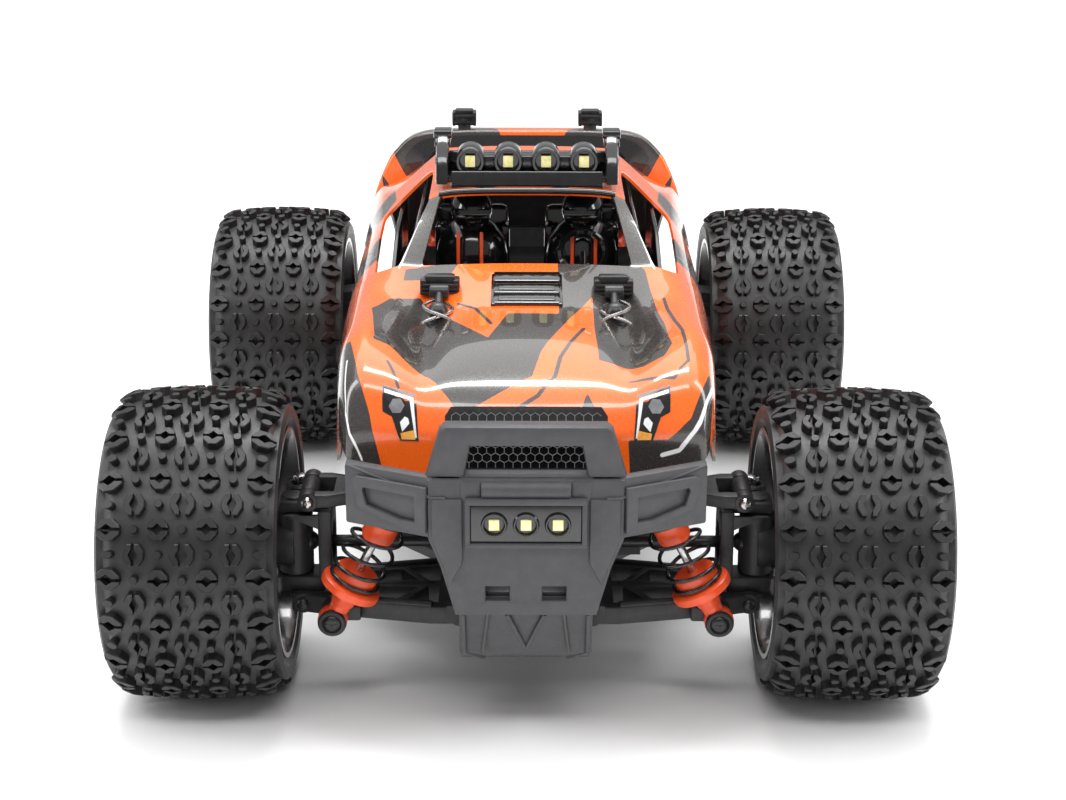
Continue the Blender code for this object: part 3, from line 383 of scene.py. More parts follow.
def screw_head(centre, facing, radius=3.2):
    """Button head with a cross recess."""
    facing = Vector(facing).normalized()
    turn = Z.rotation_difference(facing).to_matrix().to_4x4()
    head = turned([(0, 1.9), (radius * 0.55, 1.8), (radius * 0.86, 1.3),
                   (radius, 0.5), (radius, 0), (0, 0)],
                  (0, 0, 0), Z, 28)
    arms = [block((radius * 1.15, 0.75, 0.5), (0, 0, 1.78), 0.1),
            block((0.75, radius * 1.15, 0.5), (0, 0, 1.78), 0.1)]
    made = merged(head, *arms)
    made.transform(Matrix.Translation(centre) @ turn)
    return made


def flipped(form, flip_x, flip_y):
    copy = form.copy()
    copy.transform(Matrix.Diagonal((flip_x, flip_y, 1, 1)))
    if flip_x * flip_y < 0:
        bmesh.ops.reverse_faces(copy, faces=copy.faces)
    return copy


def both_sides(form):
    return merged(form, flipped(form, -1, 1))


def piece(name, form, look, body, replaced=(), angle=38):
    """Makes a finished piece of the truck from a form in millimetres."""
    mesh = bpy.data.meshes.new(name)
    form.to_mesh(mesh)
    form.free()
    mesh.transform(Matrix.Scale(MM, 4))
    made = bpy.data.objects.new(name, mesh)
    bpy.context.scene.collection.objects.link(made)
    for each in look if isinstance(look, (list, tuple)) else (look,):
        mesh.materials.append(each)
    mesh.shade_smooth()
    mesh.set_sharp_from_angle(angle=math.radians(angle))
    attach(made, body)
    if replaced:
        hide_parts(*replaced)
    return made


def at_corners(stem, form, look, body, replaced="", corners=CORNERS, angle=38):
    """One piece at each corner; body and replaced hold {} for the corner's name."""
    made = {}
    for corner, (flip_x, flip_y) in corners.items():
        side = corner.split("_")[1]
        nodes = [replaced.format(corner, side=side)] if replaced else []
        made[corner] = piece(f"{stem}_{corner}", flipped(form, flip_x, flip_y), look,
                             body.format(corner, side=side), nodes, angle)
    form.free()
    return made


# ---- wheels --------------------------------------------------------------------------------
def tread_point(across, height, angle):
    """A point on or above the carcass: flat crown, then a rounded shoulder."""
    crown, bend = 22.5, 7.5
    side = math.copysign(1, across)
    inside = min(abs(across), crown)
    turn = max(0.0, abs(across) - crown) / bend
    low = 54.4 - 0.0026 * inside**2
    radius = low - bend * (1 - math.cos(turn)) + height * math.cos(turn)
    along = inside + (bend + height) * math.sin(turn)
    return WHEEL + Vector((side * along, radius * math.sin(angle), radius * math.cos(angle)))


def tread_block(bm, outline, across, angle):
    """One block: it widens at its foot and has a softened top."""
    middle = Vector([sum(values) / len(outline) for values in zip(*outline)])
    layers = []
    for height, grow in ((-0.4, 1.10), (0.2, 1.04), (3.1, 1.0), (3.4, 0.90)):
        layer = []
        for point in outline:
            spot = middle + (Vector(point) - middle) * grow
            layer.append(bm.verts.new(tread_point(across + spot.x, height, angle + spot.y / 56)))
        layers.append(layer)
    for lower, upper in zip(layers, layers[1:]):
        for index in range(len(lower)):
            bm.faces.new((lower[index - 1], lower[index], upper[index], upper[index - 1]))
    bm.faces.new(layers[-1])


def tyre():
    """Carcass with seven columns of hexagon pairs and pins, the outer columns running onto the shoulders.
    """
    section = [(43.4, 25), (43.4, 29), (46, 31.2), (49, 31.6), (50.6, 30.6)]
    crown = [tread_point(across, 0, 0) - WHEEL for across in (29, 27, 25, 23, 18, 12, 6, 0)]
    section += [(point.z, point.x) for point in crown]
    section += [(radius, -along) for radius, along in reversed(section[:-1])]
    section += [(50.5, -23), (50.5, 23)]
    bm = turned(section, WHEEL, X, 120)
    plain = len(bm.verts)
    bracket = [(-0.5, 3.8), (-2.0, 3.8), (-3.6, 1.3), (-3.6, -1.3), (-2.0, -3.8), (-0.5, -3.8),
               (-0.5, -2.3), (-1.7, 0), (-0.5, 2.3)]
    hood = [(3.6, 0.45), (3.4, 1.6), (1.4, 3.8), (-1.4, 3.8), (-3.4, 1.6), (-3.6, 0.45), (-1.7, 0.45),
            (0, 2.0), (1.7, 0.45)]
    pin = ring(1.5, 12)
    pitch, rows = 8.4, 40
    for row in range(rows):
        angle = 2 * math.pi * row / rows
        for column in range(-3, 4):
            across = column * pitch
            if (column + row) % 2:
                tread_block(bm, pin, across, angle)
                continue
            for flip in (1, -1):
                if column % 2:
                    shape = [(x, y * flip) for x, y in hood]
                else:
                    gap = 0.5 if column == 0 else 0.0
                    shape = [((x - gap) * flip, y) for x, y in bracket]
                tread_block(bm, shape if flip > 0 else shape[::-1], across, angle)
    bmesh.ops.recalc_face_normals(bm, faces=bm.faces)
    raised = bm.verts.layers.float.new("raised")
    for index, vert in enumerate(bm.verts):
        vert[raised] = 1.0 if index >= plain else 0.0
    return bm


def rim():
    """Barrel with rolled lips, a pierced dish with six spokes, beadlock ring, hub and bolts."""
    barrel = turned(
        [(43.0, 30.4), (41.2, 31), (40.6, 30.2), (40.4, 14), (39.6, 11), (39.6, -27), (40.8, -30.6),
         (42.6, -30.6), (43.0, -29), (43.0, 29)], WHEEL, X, 72)
    windows = []
    for spoke in range(6):
        middle = 2 * math.pi * (spoke + 0.5) / 6
        outer = [(36.5 * math.cos(middle + turn), 36.5 * math.sin(middle + turn))
                 for turn in (-0.36, -0.18, 0, 0.18, 0.36)]
        inner = [(17 * math.cos(middle + turn), 17 * math.sin(middle + turn)) for turn in (0.20, -0.20)]
        windows.append(outer + inner)
    centre = (-AXLE_Y, AXLE_Z)
    shift = [[(y + centre[0], z + centre[1]) for y, z in outline] for outline in [ring(41, 64), *windows]]
    dish = slab(shift, 5, "YZ", WHEEL.x + 13, 0.9)
    parts = [barrel, dish]
    for spoke in range(6):
        angle = 2 * math.pi * spoke / 6
        out = Vector((0, math.cos(angle), math.sin(angle)))
        base = WHEEL + X * 15.4
        parts.append(bar(2.6, base + out * 12, base + out * 35, 1.8, 16, 0.5))
        bolt = WHEEL + X * 30.6 + Vector((0, math.cos(angle + 0.26), math.sin(angle + 0.26))) * 38.2
        parts.append(bar(1.1, bolt - X * 0.5, bolt + X * 0.9, None, 6, 0.15))
    parts.append(turned([(40.6, 30.9), (36.2, 30.3), (35.6, 29.2), (36.2, 28.2), (40.6, 28.6)],
                        WHEEL, X, 72))
    parts.append(turned([(0, 17.6), (6.5, 17.6), (9.6, 15.8), (10.6, 11), (10, -6), (0, -6)], WHEEL, X, 36))
    return merged(*parts)


at_corners("tyre_tread", tyre(), RUBBER, "wheel_{}", "tyre_{}", CORNERS, 26)
at_corners("rim_dish", rim(), RIM, "wheel_{}", "rim_{}")
nut = merged(bar(6, WHEEL + X * 18.0, WHEEL + X * 23.5, None, 6, 0.7),
             turned([(0, 25.2), (3.4, 25.2), (3.8, 24.4), (3.8, 22), (0, 22)], WHEEL, X, 24),
             bar(2.9, WHEEL + X * 20, WHEEL + X * 27.5, None, 20, 0.4))
at_corners("wheel_nut", nut, STEEL, "wheel_{}")


# ---- suspension ----------------------------------------------------------------------------
def lower_arm():
    """Trussed arm: flanged outline, diagonal ribs, hinge barrel, fork and the shock's screw."""
    axle = -AXLE_Y
    outline = [(22, axle - 21.5), (34, axle - 21.5), (72, axle - 14), (86, axle - 10), (86, axle - 6.9),
               (72, axle - 6.9), (72, axle + 6.9), (86, axle + 6.9), (86, axle + 10), (72, axle + 13),
               (34, axle + 21.5), (22, axle + 21.5)]
    windows = [
        [(32, axle - 16.5), (44, axle - 14.5), (36, axle - 3), (32, axle - 3)],
        [(47, axle - 13.5), (63, axle - 9.5), (66, axle - 3), (40, axle - 3)],
        [(32, axle + 3), (36, axle + 3), (44, axle + 14.5), (32, axle + 16.5)],
        [(40, axle + 3), (66, axle + 3), (63, axle + 9.5), (47, axle + 13.5)],
    ]
    parts = [slab([outline, *windows], 7, "XY", 37.5, 0.8),
             bar(4, (24, axle - 22, 37.5), (24, axle + 22, 37.5))]
    for outer in (-1, 1):
        parts.append(bar(3.9, (82, axle + outer * 7, 37.5), (82, axle + outer * 11, 37.5)))
        parts.append(bar(1.6, (34, axle + outer * 19.5, 41), (72, axle + outer * 12.5, 41), 1.2))
    parts.append(bar(1.2, (34, axle, 40.6), (70, axle, 40.6)))
    eye_back = -160 + 2.8
    parts.append(bar(5, (70, eye_back, 36.5), (70, axle - 12, 36.5)))
    parts.append(block((12, 10, 6), (66, axle - 15, 37.5), 1.0))
    parts.append(turned([(3.0, 0), (5.0, 0), (5.2, 0.8), (4.6, 1.9), (3.6, 2.2), (3.0, 1.4)],
                        (70, -162.6, 36.5), -Y, 36))
    return merged(*parts)


def upper_arm():
    """Narrow arm: two rails with ribs, and a forked outer end."""
    axle = -AXLE_Y
    outline = [(20, axle - 7), (60, axle - 7), (72, axle - 12), (82, axle - 12), (82, axle - 6.9),
               (70, axle - 6.9), (70, axle + 6.9), (82, axle + 6.9), (82, axle + 12), (72, axle + 12),
               (60, axle + 7), (20, axle + 7)]
    windows = [[(27, axle - 3.6), (40, axle - 3.6), (40, axle + 3.6), (27, axle + 3.6)],
               [(44, axle - 3.6), (63, axle - 3.6), (63, axle + 3.6), (44, axle + 3.6)]]
    parts = [slab([outline, *windows], 5, "XY", 78, 0.7),
             bar(3.5, (21, axle - 7, 78), (21, axle + 7, 78))]
    for outer in (-1, 1):
        parts.append(bar(3.6, (79, axle + outer * 7, 78), (79, axle + outer * 12.6, 78)))
        parts.append(bar(1.3, (26, axle + outer * 5.5, 80.6), (62, axle + outer * 5.5, 80.6)))
    return merged(*parts)


def arm_screws():
    """The visible ends of the hinge pins and the shock's lower screw."""
    axle = -AXLE_Y
    parts = [screw_head((70, -163.2, 36.5), -Y, 3.5), bar(1.5, (70, -163.4, 36.5), (70, -150, 36.5))]
    for outer in (-1, 1):
        parts.append(screw_head((82, axle + outer * 11, 37.5), Y * outer, 2.4))
    return merged(*parts)


at_corners("lower_arm_truss", lower_arm(), NYLON, "lower_arm_{}", "lower_arm_{}")
at_corners("lower_arm_screws", arm_screws(), SATIN, "lower_arm_{}")
at_corners("upper_arm_rails", upper_arm(), NYLON, "upper_arm_{}", "upper_arm_{}")
pin_ends = merged(screw_head((79, -AXLE_Y - 12.6, 78), -Y, 2.3),
                  screw_head((79, -AXLE_Y + 12.6, 78), Y, 2.3))
at_corners("upper_arm_screws", pin_ends, STEEL, "upper_arm_{}")


def shock_cup():
    """Lower spring cup with its flange, and the eye on the lower screw."""
    cup = turned([(0, 6), (3.4, 6), (4.4, 8), (5.2, 12.4), (9.6, 12.8),
                  (11, 13.4), (11.2, 14.6), (11, 16.1),
                  (10.2, 16.7), (8.2, 16.9), (7.7, 21.5), (7.2, 22), (0, 22)], SHOCK_FOOT, SHOCK_AXIS)
    hub = bar(5.4, SHOCK_FOOT - Y * 2.4, SHOCK_FOOT + Y * 2.4, None, 32, 0.7)
    neck = bar(3.4, SHOCK_FOOT + SHOCK_AXIS * 3, SHOCK_FOOT + SHOCK_AXIS * 9, 4.2)
    return merged(cup, hub, neck)


def shock_cylinder():
    """Oil cylinder with a knurled spring collar, cap and upper eye."""
    top = (SHOCK_HEAD - SHOCK_FOOT).length
    cylinder = turned(
        [(0, top - 4), (4.6, top - 4.4), (6.4, top - 6), (6.6, 68), (6.1, 67.2), (6.1, 66), (10.2, 65.6),
         (10.6, 64.6), (10.6, 61.6), (10.0, 60.6), (6.1, 60.4),
         (6.1, 37), (5.2, 35.2), (2.2, 34.2), (0, 34.2)],
        SHOCK_FOOT, SHOCK_AXIS)
    parts = [cylinder, bar(5, SHOCK_HEAD - Y * 2.4, SHOCK_HEAD + Y * 2.4, None, 32, 0.6),
             bar(3, SHOCK_HEAD - SHOCK_AXIS * 3, SHOCK_HEAD - SHOCK_AXIS * 7, 4)]
    across = SHOCK_AXIS.cross(Y).normalized()
    for notch in range(24):
        angle = 2 * math.pi * notch / 24
        out = across * math.cos(angle) + Y * math.sin(angle)
        low = SHOCK_FOOT + out * 10.5
        parts.append(bar(0.5, low + SHOCK_AXIS * 61.8, low + SHOCK_AXIS * 64.4, None, 8, 0))
    return merged(*parts)


def coil():
    """Spring wire: eight turns with closed, flattened ends."""
    across = SHOCK_AXIS.cross(Y).normalized()
    low, high, radius, gauge = 17.6, 59.6, 8.9, 0.75
    points = []
    turns, steps = 8.0, 36
    for step in range(int(turns * steps) + 1):
        turn = step / steps
        share = min(max((turn - 0.9) / (turns - 1.8), 0), 1)
        ease = share - 0.035 * math.sin(2 * math.pi * share)
        ends = 0.9 * (min(turn, 0.9) + max(turn - turns + 0.9, 0) - 0.9)
        along = low + gauge + (high - low - 2 * gauge) * ease + ends
        angle = 2 * math.pi * turn
        outward = across * math.cos(angle) + Y * math.sin(angle)
        points.append(SHOCK_FOOT + SHOCK_AXIS * along + outward * radius)
    return wire(points, gauge)


at_corners("shock_cup", shock_cup(), ORANGE, "shock_shaft_{}")
rod_form = bar(1.6, SHOCK_FOOT + SHOCK_AXIS * 16, SHOCK_FOOT + SHOCK_AXIS * 58, None, 24, 0.2)
at_corners("shock_rod", rod_form, STEEL, "shock_shaft_{}", "shock_shaft_{}")
at_corners("shock_cylinder", shock_cylinder(), ORANGE, "shock_body_{}", "shock_body_{}")
for corner, made in at_corners("coil_spring", coil(), COIL, "shock_body_{}",
                               "spring_{}").items():
    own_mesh(made)


def caster_block():
    """C-hub: webbed spine, an ear above and below the knuckle, and the arm lugs."""
    axle = -AXLE_Y
    side_view = [(axle - 10, 46), (axle + 10, 46), (axle + 10, 73.2), (axle - 10, 73.2)]
    spine = slab([side_view, ring(8, 32, (axle, 58))], 5, "YZ", 73.3, 0.7)
    parts = [spine, block((18, 13, 4), (81, axle, 73.5), 0.8), block((16, 13, 6), (82, axle, 43.1), 0.8),
             bar(4, (82, axle - 6.5, 37.5), (82, axle + 6.5, 37.5)),
             bar(3.5, (79, axle - 6.5, 78), (79, axle + 6.5, 78)),
             bar(4.2, (85, axle, 75), (85, axle, 76.4)), bar(4.2, (85, axle, 40), (85, axle, 38.9))]
    for outer in (-1, 1):
        parts.append(slab([[(75, 71.8), (88, 71.8), (75, 66)]], 1.6, "XZ", axle + outer * 9, 0.3))
    return merged(*parts)


def steering_knuckle():
    """Knuckle post, bearing housing, steering arm with its ball stud."""
    axle = -AXLE_Y
    post = turned([(0, 70.8), (5.6, 70.8), (6.5, 69.8), (6.5, 47.2), (5.6, 46.2), (0, 46.2)],
                  (85, axle, 0), Z)
    housing = turned([(9.2, 0), (9.4, 3), (8.8, 5), (8.8, 12),
                      (9.4, 14), (9.4, 18), (8.6, 19), (3, 19), (3, 0)],
                     (85, axle, AXLE_Z), X)
    arm = slab([[(80, axle), (90, axle), (88.5, -114.5), (85, -112.6), (81.5, -114.5)]],
               3.8, "XY", 65.4, 0.6)
    return merged(post, housing, arm, bar(3.4, (85, -118, 66), (85, -118, 68)))


def hub_carrier():
    """Rear upright with its bearing housing; drawn at the front and mirrored back."""
    axle = -AXLE_Y
    side_view = [(74, 40), (78, 39.6), (90, 41), (94, 50), (94, 66), (90, 76), (78, 77.4), (74, 76)]
    parts = [slab([side_view], 13, "XZ", axle, 1.2),
             turned([(9.2, 0), (9.4, 3), (8.8, 5), (8.8, 12),
                     (9.4, 14), (9.4, 18), (8.6, 19), (3, 19), (3, 0)],
                    (85, axle, AXLE_Z), X),
             bar(4, (82, axle - 6.5, 37.5), (82, axle + 6.5, 37.5)),
             bar(3.5, (79, axle - 6.5, 78), (79, axle + 6.5, 78))]
    for rib in (46, 70):
        parts.append(block((18, 14.6, 1.6), (84, axle, rib), 0.4))
    return merged(*parts)


FRONT = {corner: flips for corner, flips in CORNERS.items() if flips[1] > 0}
REAR = {corner: flips for corner, flips in CORNERS.items() if flips[1] < 0}
stub = merged(bar(3, (100, -AXLE_Y, AXLE_Z), (146, -AXLE_Y, AXLE_Z)),
              bar(6, (103.6, -AXLE_Y, AXLE_Z), (108, -AXLE_Y, AXLE_Z), None, 6, 0.4))
at_corners("caster_webbed", caster_block(), NYLON, "caster_block_{side}",
           "caster_block_{side}", FRONT)
at_corners("knuckle_cast", steering_knuckle(), NYLON, "steering_knuckle_{side}",
           "steering_knuckle_{side}", FRONT)
at_corners("carrier_cast", hub_carrier(), NYLON, "hub_carrier_{side}",
           "hub_carrier_{side}", REAR)
at_corners("stub_axle", stub.copy(), STEEL, "steering_knuckle_{side}", "", FRONT)
at_corners("stub_axle", stub, STEEL, "hub_carrier_{side}", "", REAR)
tie_stud = merged(ball(2.6, (85, -118, 71)), bar(1.3, (85, -118, 66), (85, -118, 76)),
                  bar(2.6, (85, -118, 74.4), (85, -118, 76.6), None, 6, 0.3))
at_corners("tie_stud", tie_stud, STEEL, "steering_knuckle_{side}", "", FRONT)


def tie_rod():
    """Threaded link with moulded eyes."""
    link = bar(1.6, (31, -118, 71), (80, -118, 71))
    sleeves = [bar(2.6, (30, -118, 71), (40, -118, 71)), bar(2.6, (70, -118, 71), (81, -118, 71))]
    eyes = []
    for spot, outer, inner in ((27, 4.3, 2.2), (85, 5.3, 3.4)):
        eyes.append(turned([(outer - 0.6, 2.5), (outer, 1.8), (outer, -1.8), (outer - 0.6, -2.5),
                            (inner, -2.5), (inner, 2.5)], (spot, -118, 71), Z, 32))
    return merged(link, *sleeves, *eyes)


at_corners("tie_link", tie_rod(), NYLON, "tie_rod_{side}", "tie_rod_{side}", FRONT)


def drive_shaft():
    """Dog-bone with crossed pins in its ball ends."""
    axle = -AXLE_Y
    parts = [bar(2.2, (18, axle, 58), (80, axle, 58)), ball(3.8, (18, axle, 58)), ball(3.8, (80, axle, 58))]
    for end in (18, 80):
        parts.append(bar(1.1, (end, axle, 53.2), (end, axle, 62.8)))
    return merged(*parts)


at_corners("dog_bone", drive_shaft(), SATIN, "drive_shaft_{}", "drive_shaft_{}")


# ---- front end -----------------------------------------------------------------------------
def bumper():
    """Bumper: faceted wings with recessed panels, hoop guard, tube and lamp housing."""
    panel = [(-33, 107.5), (33, 107.5), (33, 86), (29, 76), (24, 58), (-24, 58), (-29, 76), (-33, 86)]
    slots = [[(5.6, 63.6), (13.6, 63.6), (13.6, 68.6), (5.6, 68.6)],
             [(-13.6, 63.6), (-5.6, 63.6), (-5.6, 68.6), (-13.6, 68.6)]]
    guard = [(-34, 106.5), (-29, 124), (-27, 125.6), (27, 125.6), (29, 124), (34, 106.5)]
    opening = [(-20.6, 108.2), (20.6, 108.2), (18.6, 118.4), (-18.6, 118.4)]
    parts = [slab([panel, *slots], 5, "XZ", -200.5, 0.9), slab([guard, opening], 8, "XZ", -197.5, 1.6),
             bar(3.4, (-15, -201.6, 103.6), (15, -201.6, 103.6), None, 32, 0.6),
             block((44, 3, 2.2), (0, -200.8, 106.6), 0.6), block((41, 5, 2.4), (0, -203, 100.2), 0.7),
             block((41, 5, 1.8), (0, -203, 84.6), 0.6),
             block((28, 32, 6), (0, -182.5, 62), 1.0)]
    for side in (1, -1):
        parts.append(block((1.8, 5, 15), (side * 19.6, -203, 92.4), 0.5))
        parts.append(block((7, 5, 7.4), (side * 18.5, -201, 103.4), 0.9))
        wing = [(31, -203), (61.5, -188.6), (61.5, -183.2), (31, -198)]
        shape = [(side * across, along) for across, along in wing]
        parts.append(slab([shape], 22, "XY", 97, 1.2))
        turn = Matrix.Rotation(math.atan2(14.4, 30.5) * side, 4, "Z")
        frame_centre = (side * 46.0, -197.0, 97.5)
        parts += framed_panel(frame_centre, turn, side)
        inner = [(side * 21.4, 100.8), (side * 31.6, 100.8),
                 (side * 31.6, 87), (side * 25.5, 70), (side * 21.4, 78)]
        parts.append(slab([inner], 1.6, "XZ", -203.4, 0.5))
        parts.append(slab([[(-199, 60), (-199, 84), (-172, 66), (-167, 60)]], 3, "YZ", side * 15, 0.6))
        ridge = [(side * 27, -203.4, 101), (side * 31.4, -203.2, 101), (side * 61, -188.6, 107.4)]
        parts.append(wire(ridge, 0.55))
    return merged(*parts)


def framed_panel(centre, turn, side):
    """A raised trapezoid frame on a bumper wing, round a recessed panel."""
    outline = [(-14.0, 7.2), (12.6, 7.2), (14.2, 5.6), (12.4, -4.6), (-6.5, -9.2), (-14.0, -9.2)]
    hollow = [(-9.6, 3.4), (9.8, 3.4), (10.2, 2.4), (8.6, -2.6), (-4.2, -5.6), (-9.6, -5.6)]
    shapes = [[(x * side, z) for x, z in shape] for shape in (outline, hollow)]
    frame_form = slab(shapes, 1.8, "XZ", 0, 0.5)
    place = Matrix.Translation(centre) @ turn
    frame_form.transform(place)
    return [frame_form]


def lamp_box():
    """Glossy lamp tray with three round reflectors."""
    parts = [block((37.6, 3.4, 13.6), (0, -203, 92.4), 0.6)]
    for across in (-10.7, 0, 10.7):
        parts.append(turned([(3.0, -0.4), (4.3, -0.4), (4.5, 0.5), (4.1, 1.3), (3.7, 1.3), (3.2, 0.2)],
                            (across, -204.7, 92.2), -Y, 36))
    return merged(*parts)


def led_chip(across, along, up, width, height):
    return block((width, 1.2, height), (across, along, up), 0.25)


def skid():
    """Bent skid with a raised V and a centre rib."""
    section = [(-166, 28.3), (-176, 29.5), (-190, 38), (-198, 57.4), (-195, 57.6), (-187, 40.5),
               (-175, 33), (-166, 31.6)]
    sheet = slab([section], 46, "YZ", 0, 0.7)
    parts = [sheet, block((30, 5, 18), (0, -168.2, 40.6), 0.8)]
    foot, knee = Vector((0, -191, 38.6)), Vector((0, -198.6, 56.6))
    for side in (1, -1):
        top = Vector((side * 6.5, knee.y, knee.z))
        parts.append(wire([top, foot + Vector((0, 0.6, 1.0))], 0.8))
        parts.append(wire([(side * 21.5, -198.4, 56.6), (side * 21.5, -190.4, 38.4),
                           (side * 15, -176.2, 29.6)], 0.8))
        parts.append(wire([(side * 13, -198.8, 57), (side * 15, -190.6, 38.4)], 0.6))
    parts.append(block((46, 2.2, 2.2), (0, -198, 57.4), 0.6))
    return merged(*parts)


piece("bumper_moulded", bumper(), BUMPER, "root", ["front_bumper"])
piece("bumper_lamp_tray", lamp_box(), GLOSS, "root")
chips = [led_chip(across, -205.0, 92.2, 3.6, 3.8) for across in (-10.7, 0, 10.7)]
piece("bumper_leds", merged(*chips), LED, "root")
piece("skid_ribbed", skid(), BUMPER, "root", ["skid_plate"])


# ---- body shell ----------------------------------------------------------------------------
def arch_z(along):
    """Height of the body's lower edge."""
    offset = abs(along) - AXLE_Y
    if abs(offset) >= 62:
        return 62
    return max(62, AXLE_Z + math.sqrt(62**2 - offset**2))


# Stations of the shell: y, then (x, z) of nine points from the centre line out to the side.
STATIONS = [
    (-177, [(0, 99), (14, 99), (27, 99), (35, 99), (45, 100), (53, 101), (58, 102), (60, 103), (61, 104)]),
    (-176, [(0, 113), (14, 113), (27, 113), (35, 114), (45, 115),
            (54, 116), (60, 116), (62, 112), (62.5, None)]),
    (-171, [(0, 123), (14, 123), (27, 123.5), (36, 125), (46, 128),
            (55, 130), (62, 127), (64, 119), (64.5, None)]),
    (-164, [(0, 128.5), (14, 128.5), (27, 129), (36, 128), (46, 133),
            (56, 135), (63, 132), (66, 124), (66, None)]),
    (-150, [(0, 132.5), (14, 132.5), (28, 132), (36, 129.5),
            (47, 135), (57, 138), (64, 135), (67, 127), (67, None)]),
    (-137.5, [(0, 135), (14, 135), (28, 134), (37, 130), (48, 136),
              (58, 139.5), (65, 137), (68, 128), (68, None)]),
    (-120, [(0, 136.5), (14, 136.5), (28, 135), (38, 130.5),
            (48, 136), (58, 139.5), (65, 137), (68, 126), (68, None)]),
    (-104, [(0, 137.5), (14, 137.5), (28, 136), (38, 131.5),
            (48, 136), (58, 139), (66, 136), (69, 124), (69, None)]),
    (-90, [(0, 140), (14, 140), (28, 138.5), (38, 135), (48, 138),
           (58, 139.5), (67, 135), (71, 118), (71, None)]),
    (-78, [(0, 142.5), (14, 142.5), (28, 141), (39, 139), (49, 141),
           (58, 140.5), (68, 134), (73, 112), (74, None)]),
    (-66, [(0, 144.5), (14, 144.5), (28, 144), (41, 143.5), (49.5, 143.5),
           (59, 140.5), (69, 133), (75, 104), (76, None)]),
    (-40, [(0, 166.5), (14, 166.5), (27, 166), (34.5, 165), (39, 163),
           (60, 140.5), (70, 132), (75.5, 100), (76, None)]),
    (-36, [(0, 167.4), (14, 167.4), (27, 167), (34.5, 166), (39, 163.5),
           (60, 140.5), (70, 132), (75.5, 100), (76, None)]),
    (-8, [(0, 166.4), (14, 166.4), (27, 166), (34.5, 165.5),
          (39, 163.5), (61, 140.5), (70, 132), (75.5, 100), (76, None)]),
    (20, [(0, 167), (14, 167), (27, 166.6), (34.5, 166), (39, 164),
          (61, 141), (70, 132), (75.5, 100), (76, None)]),
    (32, [(0, 167.5), (14, 167.5), (27, 167), (34.5, 166.5),
          (39, 164.5), (61, 142), (70, 132), (75.5, 100), (76, None)]),
    (45, [(0, 167), (14, 167), (27, 166.5), (34.5, 166), (39.5, 164),
          (62, 142), (71, 132), (75, 100), (76, None)]),
    (62, [(0, 150), (14, 150), (27, 150), (38, 160), (44, 157),
          (64, 141), (71.5, 132), (75, 100), (75.5, None)]),
    (82, [(0, 150), (14, 150), (27, 150), (46, 149), (52, 146),
          (66, 139), (72, 131), (74, 108), (74.5, None)]),
    (100, [(0, 150), (14, 150), (27, 150), (52, 139), (58, 137),
           (68, 137), (72.5, 131), (73.5, 115), (73.5, None)]),
    (105, [(0, 153.5), (14, 153.5), (28, 153.5), (43, 152), (47, 146),
           (49, 134), (72.5, 129), (73, 117), (73, None)]),
    (107, [(0, 161), (14, 161), (28, 161), (47, 160), (56, 157.5),
           (64, 148), (72, 131), (73, 117), (73, None)]),
    (130, [(0, 159), (14, 159), (28, 159), (47, 158), (56, 155.5),
           (64, 147), (71.5, 132), (72.5, 124), (72.5, None)]),
    (150, [(0, 150), (14, 150), (28, 150), (46, 149), (55, 147),
           (63, 141), (70, 134), (71.5, 125), (71.5, None)]),
    (172, [(0, 139), (14, 139), (28, 139), (45, 138.5), (54, 137),
           (61, 134), (67.5, 129), (69.5, 120), (69.5, None)]),
    (192, [(0, 131), (14, 131), (28, 131), (44, 130.5), (52, 129),
           (59, 126), (64.5, 121), (66.5, 110), (66.5, None)]),
    (201, [(0, 121), (14, 121), (28, 121), (43, 120.5), (51, 119),
           (57, 116), (62, 111), (64, 100), (64, None)]),
    (205.5, [(0, 96), (14, 96), (28, 96), (43, 96), (50, 95.5), (56, 94), (60, 92), (62, 88), (62, 80)]),
    (203, [(0, 80), (14, 80), (28, 80), (43, 80), (50, 79.5), (55, 78.5), (58, 77), (60, 75), (60.5, 72)]),
]
OPENINGS = [(-66, -40, 0, 3), (-66, 20, 4, 5), (45, 100, 0, 3), (62, 100, 3, 4), (100, 105, 0, 4)]
